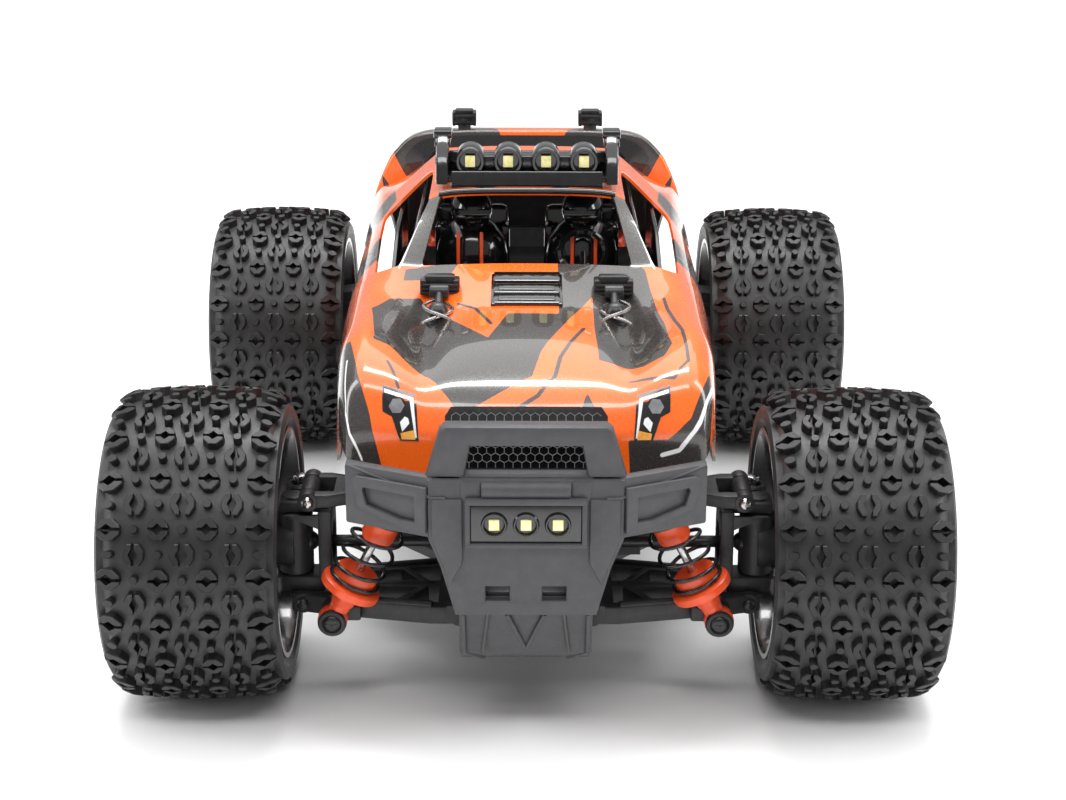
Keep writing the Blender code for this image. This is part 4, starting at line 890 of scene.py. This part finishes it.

# Livery and two painted highlights, in the shell's own chart: s is the distance across from the centre line
# along a station (positive to the truck's left), t the distance back from the nose along the centre line.
DARK_SHAPES = [
    [(-57, 56), (-60, 91), (-53, 106), (-41, 112), (-29, 89), (-14, 66), (-7, 90), (12, 90), (12, 136),
     (25, 136), (25, 108), (16, 86), (5, 54), (2, 38), (-6, 32), (-19, 24), (-25, 24), (-30, 31), (-34, 38),
     (-42, 45), (-51, 55)],
    [(25, 136), (42, 136), (46, 131), (48, 115), (50, 102), (53, 80),
     (54, 55), (50, 46), (42, 44), (33, 48),
     (26, 50), (25, 76), (25, 108)],
    [(-47, 131), (-26, 136), (-30, 125), (-41, 124), (-48, 122)],
    [(-66, 57), (-64, 50), (-60, 32), (-54, 17), (-49, -2), (-95, -8), (-90, 40), (-72, 60)],
    [(21, 30), (19, 24), (24, 24)],
    [(68, 38), (76, 20), (74, -4), (36, -4), (35, 12), (49, 11), (57, 17)],
    [(40.5, 133), (50, 133), (40.5, 169), (33.5, 169)],
    [(-40.5, 133), (-50, 133), (-40.5, 169), (-33.5, 169)],
    [(-66, 319), (-10, 319), (-16, 338), (-66, 346)],
    [(14, 319), (66, 319), (66, 348), (22, 337)],
    [(44, 166), (92, 150), (150, 152), (150, 168), (92, 176), (60, 206), (44, 214)],
    [(64, 236), (100, 214), (150, 208), (150, 232), (98, 244), (66, 262)],
    [(70, 300), (100, 268), (150, 262), (150, 276), (104, 286), (78, 330)],
    [(-44, 166), (-92, 150), (-150, 152), (-150, 168), (-92, 176), (-60, 206), (-44, 214)],
    [(-64, 236), (-100, 214), (-150, 208), (-150, 232), (-98, 244), (-66, 262)],
    [(-70, 300), (-100, 268), (-150, 262), (-150, 276), (-104, 286), (-78, 330)],
    [(-12, 176), (14, 176), (20, 196), (6, 238), (-8, 240), (-20, 198)],
    [(-60, 334), (-26, 332), (-14, 372), (-34, 398), (-58, 380)],
    [(60, 342), (34, 334), (8, 380), (26, 404), (58, 398)],
    [(-50, 408), (-12, 414), (-4, 440), (-44, 446)],
    [(58, 418), (22, 410), (12, 446), (52, 470)],
]
DARK_LINES = [
    ([(21, 77), (12, 51), (10, 38), (4, 29), (-2, 25)], 1.6),
    ([(53, 107), (59, 63), (58, 38), (52, 30), (36, 35)], 1.4),
    ([(-50, 41), (-45, 28)], 1.4),
    ([(-26, 102), (-19, 96), (-13, 80)], 1.6),
    ([(-22, 172.5), (-8, 169.8), (8, 170.2), (20, 173)], 1.4),
    ([(78, 186), (96, 190), (150, 184)], 2.4),
    ([(-78, 186), (-96, 190), (-150, 184)], 2.4),
    ([(84, 262), (120, 246), (150, 246)], 2.0),
    ([(-84, 262), (-120, 246), (-150, 246)], 2.0),
    ([(-30, 340), (10, 356), (4, 392)], 2.2),
    ([(-20, 430), (22, 424), (40, 402)], 2.0),
]
WHITE_LINES = [
    ([(49.6, 132), (40, 168), (40, 236)], 0.8),
    ([(-49.6, 132), (-40, 168), (-40, 236)], 0.8),
    # The next two white lines, on the front fender corners, are painted highlights along the fender edges;
    # the other white lines are livery.
    ([(70, 33), (61, 17), (53, 7), (47, 6)], 1.5),
    ([(-66, 44), (-66, 22), (-57, 3)], 0.9),
    ([(88, 148), (96, 176), (78, 214)], 1.0),
    ([(-88, 148), (-96, 176), (-78, 214)], 1.0),
    ([(66, 264), (98, 246), (140, 236)], 1.0),
    ([(-66, 264), (-98, 246), (-140, 236)], 1.0),
    ([(60, 343), (34, 335), (8, 381)], 0.9),
    ([(-58, 381), (-34, 399), (-14, 373)], 0.9),
]


def segment_distance(points, start, end):
    start, end = np.array(start, float), np.array(end, float)
    span = end - start
    share = np.clip((points - start) @ span / (span @ span), 0, 1)
    return np.linalg.norm(points - start - share[:, None] * span, axis=1)


def shape_field(points, outlines):
    """Signed distance to the nearest outline, negative inside."""
    field = np.full(len(points), 99.0)
    for outline in outlines:
        edge = np.full(len(points), 99.0)
        inside = np.zeros(len(points), bool)
        for start, end in zip(outline, outline[1:] + outline[:1]):
            edge = np.minimum(edge, segment_distance(points, start, end))
            (ax, ay), (bx, by) = start, end
            if ay != by:
                crosses = (points[:, 1] > ay) != (points[:, 1] > by)
                inside ^= crosses & (points[:, 0] < ax + (points[:, 1] - ay) * (bx - ax) / (by - ay))
        field = np.minimum(field, np.where(inside, -edge, edge))
    return field


def line_field(points, lines):
    field = np.full(len(points), 99.0)
    for path, width in lines:
        for start, end in zip(path, path[1:]):
            field = np.minimum(field, segment_distance(points, start, end) - width / 2)
    return field


def shell_cage():
    """Half of the shell as quads, with its chart stored on the points."""
    bm = bmesh.new()
    s_layer, t_layer = bm.verts.layers.float.new("s"), bm.verts.layers.float.new("t")
    rows, run, before = [], 0.0, None
    for along, points in STATIONS:
        row, across_run, last = [], 0.0, None
        for across, up in points:
            spot = Vector((across, along, arch_z(along) if up is None else up))
            if last is not None:
                across_run += (spot - last).length
            elif before is not None:
                run += (spot - before).length
            if last is None:
                before = spot
            last = spot
            vert = bm.verts.new(spot)
            vert[s_layer], vert[t_layer] = across_run, run
            row.append(vert)
        rows.append(row)
    for index, (row, after) in enumerate(zip(rows, rows[1:])):
        start, end = STATIONS[index][0], STATIONS[index + 1][0]
        for point in range(len(row) - 1):
            if not any(low <= start and end <= high and first <= point < last_point
                       for low, high, first, last_point in OPENINGS):
                bm.faces.new((row[point], after[point], after[point + 1], row[point + 1]))
    for loose in [vert for vert in bm.verts if not vert.link_faces]:
        bm.verts.remove(loose)
    bmesh.ops.recalc_face_normals(bm, faces=bm.faces)
    if max(bm.faces, key=lambda face: face.calc_center_median().z).normal.z < 0:
        bmesh.ops.reverse_faces(bm, faces=bm.faces)
    crease = bm.edges.layers.float.new("crease_edge")
    for edge in bm.edges:
        first, last = edge.verts
        if edge.is_boundary and max(abs(first.co.x), abs(last.co.x)) > 0.01:
            edge[crease] = 1.0
    for column, sharp in ((2, 0.25), (3, 0.35), (4, 0.2), (5, 0.45)):
        for row, after in zip(rows, rows[1:]):
            set_crease(row[column], after[column], crease, sharp)
    for (along, _), row in zip(STATIONS, rows):
        sharp = {-176: 0.45, -66: 0.7, -40: 0.7, 45: 0.6, 105: 0.7, 107: 0.6, 205.5: 0.4}.get(along, 0)
        for vert, beside in zip(row, row[1:]):
            set_crease(vert, beside, crease, sharp)
    return bm


def set_crease(vert, other, layer, sharp):
    """Sharpens the edge between two points, where there is one."""
    if sharp and vert.is_valid and other.is_valid:
        for edge in vert.link_edges:
            if other in edge.verts:
                edge[layer] = max(edge[layer], sharp)


def evaluated(made):
    graph = bpy.context.evaluated_depsgraph_get()
    bpy.context.view_layer.update()
    return bpy.data.meshes.new_from_object(made.evaluated_get(graph))


def body_shell():
    """Smooth painted shell with its livery fields; the white field also holds painted highlights."""
    cage = bpy.data.meshes.new("cage")
    form = shell_cage()
    form.to_mesh(cage)
    form.free()
    made = bpy.data.objects.new("cage", cage)
    bpy.context.scene.collection.objects.link(made)
    mirror = made.modifiers.new("Mirror", "MIRROR")
    mirror.merge_threshold = 0.01
    smooth = made.modifiers.new("Subdivision", "SUBSURF")
    smooth.levels = smooth.render_levels = 4
    mesh = evaluated(made)
    bpy.data.objects.remove(made)
    count = len(mesh.vertices)
    places = np.empty(count * 3)
    mesh.vertices.foreach_get("co", places)
    places = places.reshape(-1, 3)
    chart = np.empty((count, 2))
    for column, name in enumerate(("s", "t")):
        values = np.empty(count)
        mesh.attributes[name].data.foreach_get("value", values)
        chart[:, column] = values
    chart[:, 0] *= np.sign(places[:, 0])
    # white lines: livery, and painted highlights on the front fender corners
    white = line_field(chart, WHITE_LINES)
    dark = np.minimum(shape_field(chart, DARK_SHAPES), line_field(chart, DARK_LINES))
    rim_low = 6.0 - (places[:, 2] - np.vectorize(arch_z)(places[:, 1]))
    black = np.where(np.abs(chart[:, 0]) > 88, -(rim_low - 1.5), 99.0)
    hoop_front = np.maximum(np.abs(chart[:, 1] - 320.5) - 6, np.abs(chart[:, 0]) - 62)
    black = np.minimum(black, hoop_front)
    for name, values in (("dark", dark), ("black", black), ("white", white)):
        layer = mesh.attributes.new(name, "FLOAT", "POINT")
        layer.data.foreach_set("value", values.astype(np.float32))
    mesh.materials.append(PAINT)
    mesh.materials.append(INSIDE)
    smooth_shell = bpy.data.objects.new("shell", mesh)
    bpy.context.scene.collection.objects.link(smooth_shell)
    solid = smooth_shell.modifiers.new("Solidify", "SOLIDIFY")
    solid.thickness, solid.offset = 1.2, -1
    solid.use_rim = True
    solid.material_offset, solid.material_offset_rim = 1, 0
    bm = bmesh.new()
    thick = evaluated(smooth_shell)
    bpy.data.objects.remove(smooth_shell)
    bm.from_mesh(thick)
    return bm


shell_form = body_shell()
SHELL_TREE = BVHTree.FromBMesh(shell_form)
piece("body_painted", shell_form, [PAINT, INSIDE], "root", ["body_shell"], 60)


def on_nose(outline, lift, thickness=0.25, cuts=3):
    """A thin sticker: an outline in X and Z laid on the front of the shell."""
    bm = bmesh.new()
    face = bm.faces.new([bm.verts.new((across, 0, up)) for across, up in outline])
    bmesh.ops.triangulate(bm, faces=[face])
    bmesh.ops.subdivide_edges(bm, edges=bm.edges[:], cuts=cuts, use_grid_fill=True)
    for vert in bm.verts:
        hit = SHELL_TREE.ray_cast(Vector((vert.co.x, -260, vert.co.z)), Y)[0]
        vert.co.y = (hit.y if hit else -177) - lift
    back = bmesh.ops.extrude_face_region(bm, geom=bm.faces[:])
    for element in back["geom"]:
        if isinstance(element, bmesh.types.BMVert):
            element.co.y += thickness
    bmesh.ops.recalc_face_normals(bm, faces=bm.faces)
    return bm


def headlights():
    """Stickers: black outline, white L, an arrow, grey hexagon and an amber block, each side."""
    outline = [(38, 126), (49.6, 129.5), (49.4, 121.4), (45.4, 119.2), (43.4, 111.6), (37, 111.4)]
    strip = [(38.9, 125.1), (48.9, 128.4), (48.9, 127.3), (40.2, 124.6), (38.2, 112.6), (37.6, 112.6)]
    arrow = [(41.8, 119.6), (43.4, 117.8), (42.6, 114.8), (40.2, 117.4), (40.6, 119)]
    hexagon = [(44.6 + 2.7 * math.cos(a * math.pi / 3), 123 + 2.5 * math.sin(a * math.pi / 3))
               for a in range(6)]
    amber = [(38.6, 115.2), (43.2, 114.2), (42.8, 112.1), (38.1, 112.0)]
    groups = (("headlight_black", [outline], GLOSS, 0.20, "gloss_black"),
              ("headlight_white", [strip, arrow], WHITE, 0.34, "gloss_black"),
              ("headlight_hexagon", [hexagon], LENS_GREY, 0.34, "gloss_black"),
              ("headlight_amber", [amber], AMBER, 0.34, "orange_plastic"))
    for name, shapes, look, lift, slot in groups:
        forms = []
        for side in (1, -1):
            for shape in shapes:
                forms.append(on_nose([(side * x, z) for x, z in shape], lift))
        piece(name, merged(*forms), look, "root")


def grille():
    """Black panel on the nose behind the guard, and its hexagonal lattice."""
    panel = [(-28, 100.5), (28, 100.5), (28, 119.5), (26, 122.2), (-26, 122.2), (-28, 119.5)]
    piece("grille_panel", on_nose(panel, 0.25, 0.25, 6), GLOSS, "root")
    cell, forms = 1.75, []
    step_x, step_z = cell * math.sqrt(3), cell * 1.5
    for row in range(9):
        for column in range(-9, 10):
            x = (column + (row % 2) / 2) * step_x
            z = 103 + row * step_z
            if abs(x) > 26.5 or z > 121:
                continue
            corners = [(x + cell * math.cos(math.radians(30 + 60 * k)),
                        z + cell * math.sin(math.radians(30 + 60 * k)))
                       for k in range(6)]
            points = []
            for across, up in corners[:4]:
                hit = SHELL_TREE.ray_cast(Vector((across, -260, up)), Y)[0]
                if hit:
                    points.append(Vector((across, hit.y - 0.6, up)))
            if len(points) == 4:
                forms.append(wire(points, 0.17, False, 1))
    piece("grille_lattice", merged(*forms), MESH_GREY, "root")


headlights()
grille()


def from_above(across, along, lift=0.0):
    hit = SHELL_TREE.ray_cast(Vector((across, along, 260)), -Z)[0]
    return Vector((across, along, (hit.z if hit else 140) + lift))


def hood_scoop():
    """Three stepped louvre bands on the hood."""
    parts = []
    for index, along in enumerate((-98, -89.5, -80)):
        spot = from_above(0, along, 0.5)
        tilt = Matrix.Rotation(math.radians(9), 4, "X")
        parts.append(block((25.5, 8.6, 2.2), spot, 0.9, tilt))
        if index < 2:
            parts.append(block((21.5, 5.4, 1.2), spot + Vector((0, -0.4, 1.0)), 0.5, tilt))
    for side in (1, -1):
        parts.append(block((2.2, 27, 1.6), from_above(side * 12.4, -89, 0.3),
                           0.6, Matrix.Rotation(math.radians(9), 4, "X")))
    return merged(*parts)


def tether(place, ball_z):
    """Ribbed rubber box behind a post, a strap and the ball head on the post."""
    across, along = place
    base = from_above(across, along + 21, 0)
    parts = [block((13, 6, 4.5), base + Z * 2.2, 1.0, Matrix.Rotation(math.radians(10), 4, "X")),
             block((11.5, 5, 4), base + Z * 5.0 + Y * 0.6, 0.9)]
    for rib in (-1, 0, 1):
        parts.append(block((13.6, 0.9, 1.0), base + Vector((0, -3.2, 2.2 + rib * 1.5)), 0.25))
    for side in (1, -1):
        parts.append(block((2.6, 7, 6), base + Vector((side * 6.2, 0.5, 2.6)), 0.7))
    strap = [base + Vector((0, -3, 3)), base + Vector((0, -8, 2.2)),
             Vector((across, along + 4, ball_z - 1.5))]
    parts.append(wire(strap, 1.5))
    parts.append(bar(2.6, base + Vector((-3.6, -7, 2.4)), base + Vector((3.6, -7, 2.4)), None, 20, 0.5))
    return merged(*parts)


def ball_heads():
    forms = []
    for side in (1, -1):
        forms.append(ball(3.9, (side * 33, -106, 137.0), (1, 1, 0.92)))
        forms.append(bar(4.6, (side * 33, -106, 132), (side * 33, -106, 133.6)))
    return merged(*forms)


def hairpin():
    """Crossed spring-wire clip through the post, in front of it and behind it."""
    x, y, z = 33.0, -106.0, 135.5
    points = []
    for step in range(13):
        share = step / 12
        points.append((x + 5.4 * math.sin(share * math.pi * 1.5), y + 13 - 27 * share, z + 2.6 - share))
    other = []
    for step in range(13):
        share = step / 12
        other.append((x - 5.4 * math.sin(share * math.pi * 1.5), y + 13 - 27 * share, z + 1.4 - share))
    loop = [points[0], (x - 0.5, y + 14.6, z + 2.2), other[0]]
    return merged(wire(points, 0.7), wire(other, 0.7), wire(loop, 0.7))


def visor():
    """Black lip over the windscreen."""
    points = [from_above(across, -39.0 - 0.6 * (1 - (across / 36) ** 2), 0.5)
              for across in range(-35, 36, 5)]
    return wire([(point.x, point.y, min(point.z, 168.4)) for point in points], 1.3)


def rear_tether():
    """Rubber cap and strap on a rear body post."""
    parts = [block((9.6, 7, 5.4), (29.5, 121, 163.6), 0.9), block((8.6, 5.6, 2.4), (29.5, 121, 167.0), 0.7)]
    for rib in (-1, 1):
        parts.append(block((10.2, 1.0, 1.2), (29.5, 117.4, 163.8 + rib * 1.4), 0.3))
        parts.append(block((1.6, 7.6, 6.4), (29.5 + rib * 4.8, 121, 164.0), 0.4))
    return merged(*parts)


piece("windscreen_visor", visor(), GLOSS, "root")
piece("rear_post_caps", both_sides(rear_tether()), SATIN, "root")
piece("hood_louvres", hood_scoop(), GLOSS, "root")
piece("post_tethers", both_sides(tether((33, -106), 138)), SATIN, "root")
piece("post_balls", ball_heads(), SATIN, "root")
clip = hairpin()
piece("hairpin_left", flipped(clip, 1, 1), STEEL, "hood_clip_left", ["hood_clip_left"])
piece("hairpin_right", flipped(clip, -1, 1), STEEL, "hood_clip_right", ["hood_clip_right"])


# ---- roof and cab --------------------------------------------------------------------------
def light_bar():
    """Roof light bar: plate, four pods joined by tabs, and ribbed cheeks."""
    parts = [block((64, 4, 9), (0, -17, 173.8), 0.8), block((66, 22, 2.6), (0, -20, 169.4), 0.8),
             block((61, 2.4, 7.0), (0, -31.0, 169.6), 0.7, Matrix.Rotation(math.radians(-14), 4, "X"))]
    for pod in (-1.5, -0.5, 0.5, 1.5):
        across = pod * 15.2
        parts.append(turned([(0, -3), (5.4, -3), (5.8, -2), (5.8, 9.4),
                             (5.4, 10.4), (4.5, 10.4), (4.1, 9.2),
                             (4.1, 6.8), (0, 6.8)], (across, -19.6, 176.5), -Y, 40))
    for tab in (-1, 0, 1):
        parts.append(block((5, 8, 6), (tab * 15.2, -23, 175.2), 0.7))
    for side in (1, -1):
        cheek = [(-33, 168), (-31, 178), (-20, 187), (-14, 187), (-9, 178), (-7, 168)]
        parts.append(slab([cheek], 5, "YZ", side * 34, 0.8))
        parts.append(block((7.4, 9, 3.2), (side * 34, -17, 185.6), 0.8))
        parts.append(block((6.4, 12, 2), (side * 34, -18, 182.2), 0.5))
        parts.append(bar(1.7, (side * 36.2, -20, 175), (side * 37.2, -20, 175), None, 20, 0.3))
    return merged(*parts)


def cockpit():
    """Deck, walls and liners, seats with bolsters, helmeted heads, roll hoop and steering wheel."""
    parts = [slab([[(-54, -60), (54, -60), (56, 60), (-56, 60)]], 2, "XY", 117, 0.5)]
    for side in (1, -1):
        spot = side * 22.7
        parts.append(turned([(0, 149), (6, 148.6), (9.6, 146),
                             (13.4, 141), (15, 133), (14, 122), (14.6, 116.5), (0, 116.5)],
                            (spot, -10, 0), Z))
        parts.append(block((30, 8, 34), (spot, 8, 133), 2.6))
        for edge in (-1, 1):
            parts.append(block((5, 14, 24), (spot + edge * 13, 2, 132), 2.0))
        parts.append(ball(9, (spot, -12, 153), (0.95, 1.08, 1.0), 40))
        parts.append(block((15.6, 3, 5), (spot, -20.2, 152.5), 1.4))
        parts.append(bar(5.6, (spot, -11, 144), (spot, -11, 149)))
    for side in (1, -1):
        wall = [(-62, 116), (42, 116), (42, 146), (-20, 146), (-62, 134)]
        parts.append(slab([wall], 1.6, "YZ", side * 53, 0.4))
        liner = Matrix.Rotation(side * math.radians(-13), 4, "Y")
        parts.append(block((1.4, 84, 34), (side * 47, -6, 138), 0.5, liner))
    parts.append(block((54, 10, 10), (0, -52, 124), 3.0))
    parts.append(wire([(-34, 26, 118), (-34, 26, 150), (-26, 26, 160),
                       (26, 26, 160), (34, 26, 150), (34, 26, 118)], 1.8))
    parts.append(turned([(9, 1.1), (10.2, 0), (9, -1.1), (7.9, 0)],
                        (22.7, -32, 140), Vector((0, -0.8, 0.6))))
    parts.append(bar(1.4, (22.7, -33, 140), (22.7, -48, 128)))
    return merged(*parts)


piece("light_bar_pods", light_bar(), GLOSS, "root", ["light_bar"])
roof_chips = [led_chip(pod * 15.2, -28.6, 176.5, 4.0, 4.6) for pod in (-1.5, -0.5, 0.5, 1.5)]
piece("roof_leds", merged(*roof_chips), LED, "root")
piece("cockpit_crew", cockpit(), GLOSS, "root", ["cockpit_insert"])
stripes = [block((1.5, 2.2, 20), (across, -24.6, 136), 0.5,
                 Matrix.Rotation(math.radians(-10), 4, "X")) for across in (-28, -18.5, 18.5, 28)]
piece("seat_stripes", merged(*stripes), ORANGE, "root")


# ---- CAD nodes that stay: their finishes ----------------------------------------------------
KEPT = {
    "chassis_plate": NYLON, "front_gearbox": NYLON, "rear_gearbox": NYLON, "front_shock_tower": NYLON,
    "battery_pack": WRAP, "motor": CAN, "speed_controller": ALLOY, "steering_servo": SATIN,
    "center_link": NYLON, "servo_saver": NYLON, "center_shaft": STEEL,
    "spur_gear": GEAR, "pinion_gear": BRASS,
}
for node, look in KEPT.items():
    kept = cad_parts[node]
    kept.data.materials.clear()
    kept.data.materials.append(look)
    kept.data.shade_smooth()
    kept.data.set_sharp_from_angle(angle=math.radians(35))


# ---- stage, light and camera ---------------------------------------------------------------
def floor():
    bm = bmesh.new()
    bmesh.ops.create_grid(bm, x_segments=1, y_segments=1, size=6000)
    mesh = bpy.data.meshes.new("floor")
    bm.to_mesh(mesh)
    bm.free()
    mesh.transform(Matrix.Scale(MM, 4))
    made = bpy.data.objects.new("floor", mesh)
    bpy.context.scene.collection.objects.link(made)
    look = finish("floor_look", (0.86, 0.86, 0.86), (0.90, 0.90, 0.90), (0.55, 0.7), 0.0, scale=6.0)
    mesh.materials.append(look)


def softbox(name, place, target, size, power):
    data = bpy.data.lights.new(name, "AREA")
    data.shape = "RECTANGLE"
    data.size, data.size_y = size
    data.energy = power
    made = bpy.data.objects.new(name, data)
    bpy.context.scene.collection.objects.link(made)
    made.location = place
    made.rotation_euler = (Vector(target) - Vector(place)).to_track_quat("-Z", "Y").to_euler()


def studio():
    world = bpy.data.worlds.new("studio")
    bpy.context.scene.world = world
    world.use_nodes = True
    background = world.node_tree.nodes["Background"]
    background.inputs["Color"].default_value = (1.0, 1.0, 1.0, 1.0)
    background.inputs["Strength"].default_value = 0.36
    softbox("ceiling", (0, 1.0, 2.3), (0, 1.0, 0), (4.4, 5.0), 95)
    softbox("left", (-1.2, -0.35, 0.75), (0, 0, 0.1), (0.35, 1.1), 9)
    softbox("right", (1.2, -0.35, 0.75), (0, 0, 0.1), (0.35, 1.1), 9)
    softbox("overhead", (0, 0.32, 1.4), (0, -0.1, 0.1), (1.0, 0.28), 13)
    softbox("front", (0, -0.95, 1.25), (0, -0.1, 0.1), (1.3, 0.22), 7)


def camera():
    data = bpy.data.cameras.new("camera")
    data.lens, data.sensor_width = 70.8, 36
    data.clip_end = 50
    made = bpy.data.objects.new("camera", data)
    bpy.context.scene.collection.objects.link(made)
    aim = Matrix.Rotation(math.radians(-0.19), 4, "Z") @ Matrix.Rotation(math.radians(90 - 19.04), 4, "X")
    made.matrix_world = (Matrix.Translation((0, -0.853, 0.360)) @ aim
                         @ Matrix.Rotation(math.radians(0.22), 4, "Z"))
    bpy.context.scene.camera = made


floor()
studio()
camera()
bpy.context.scene.view_settings.view_transform = "Standard"
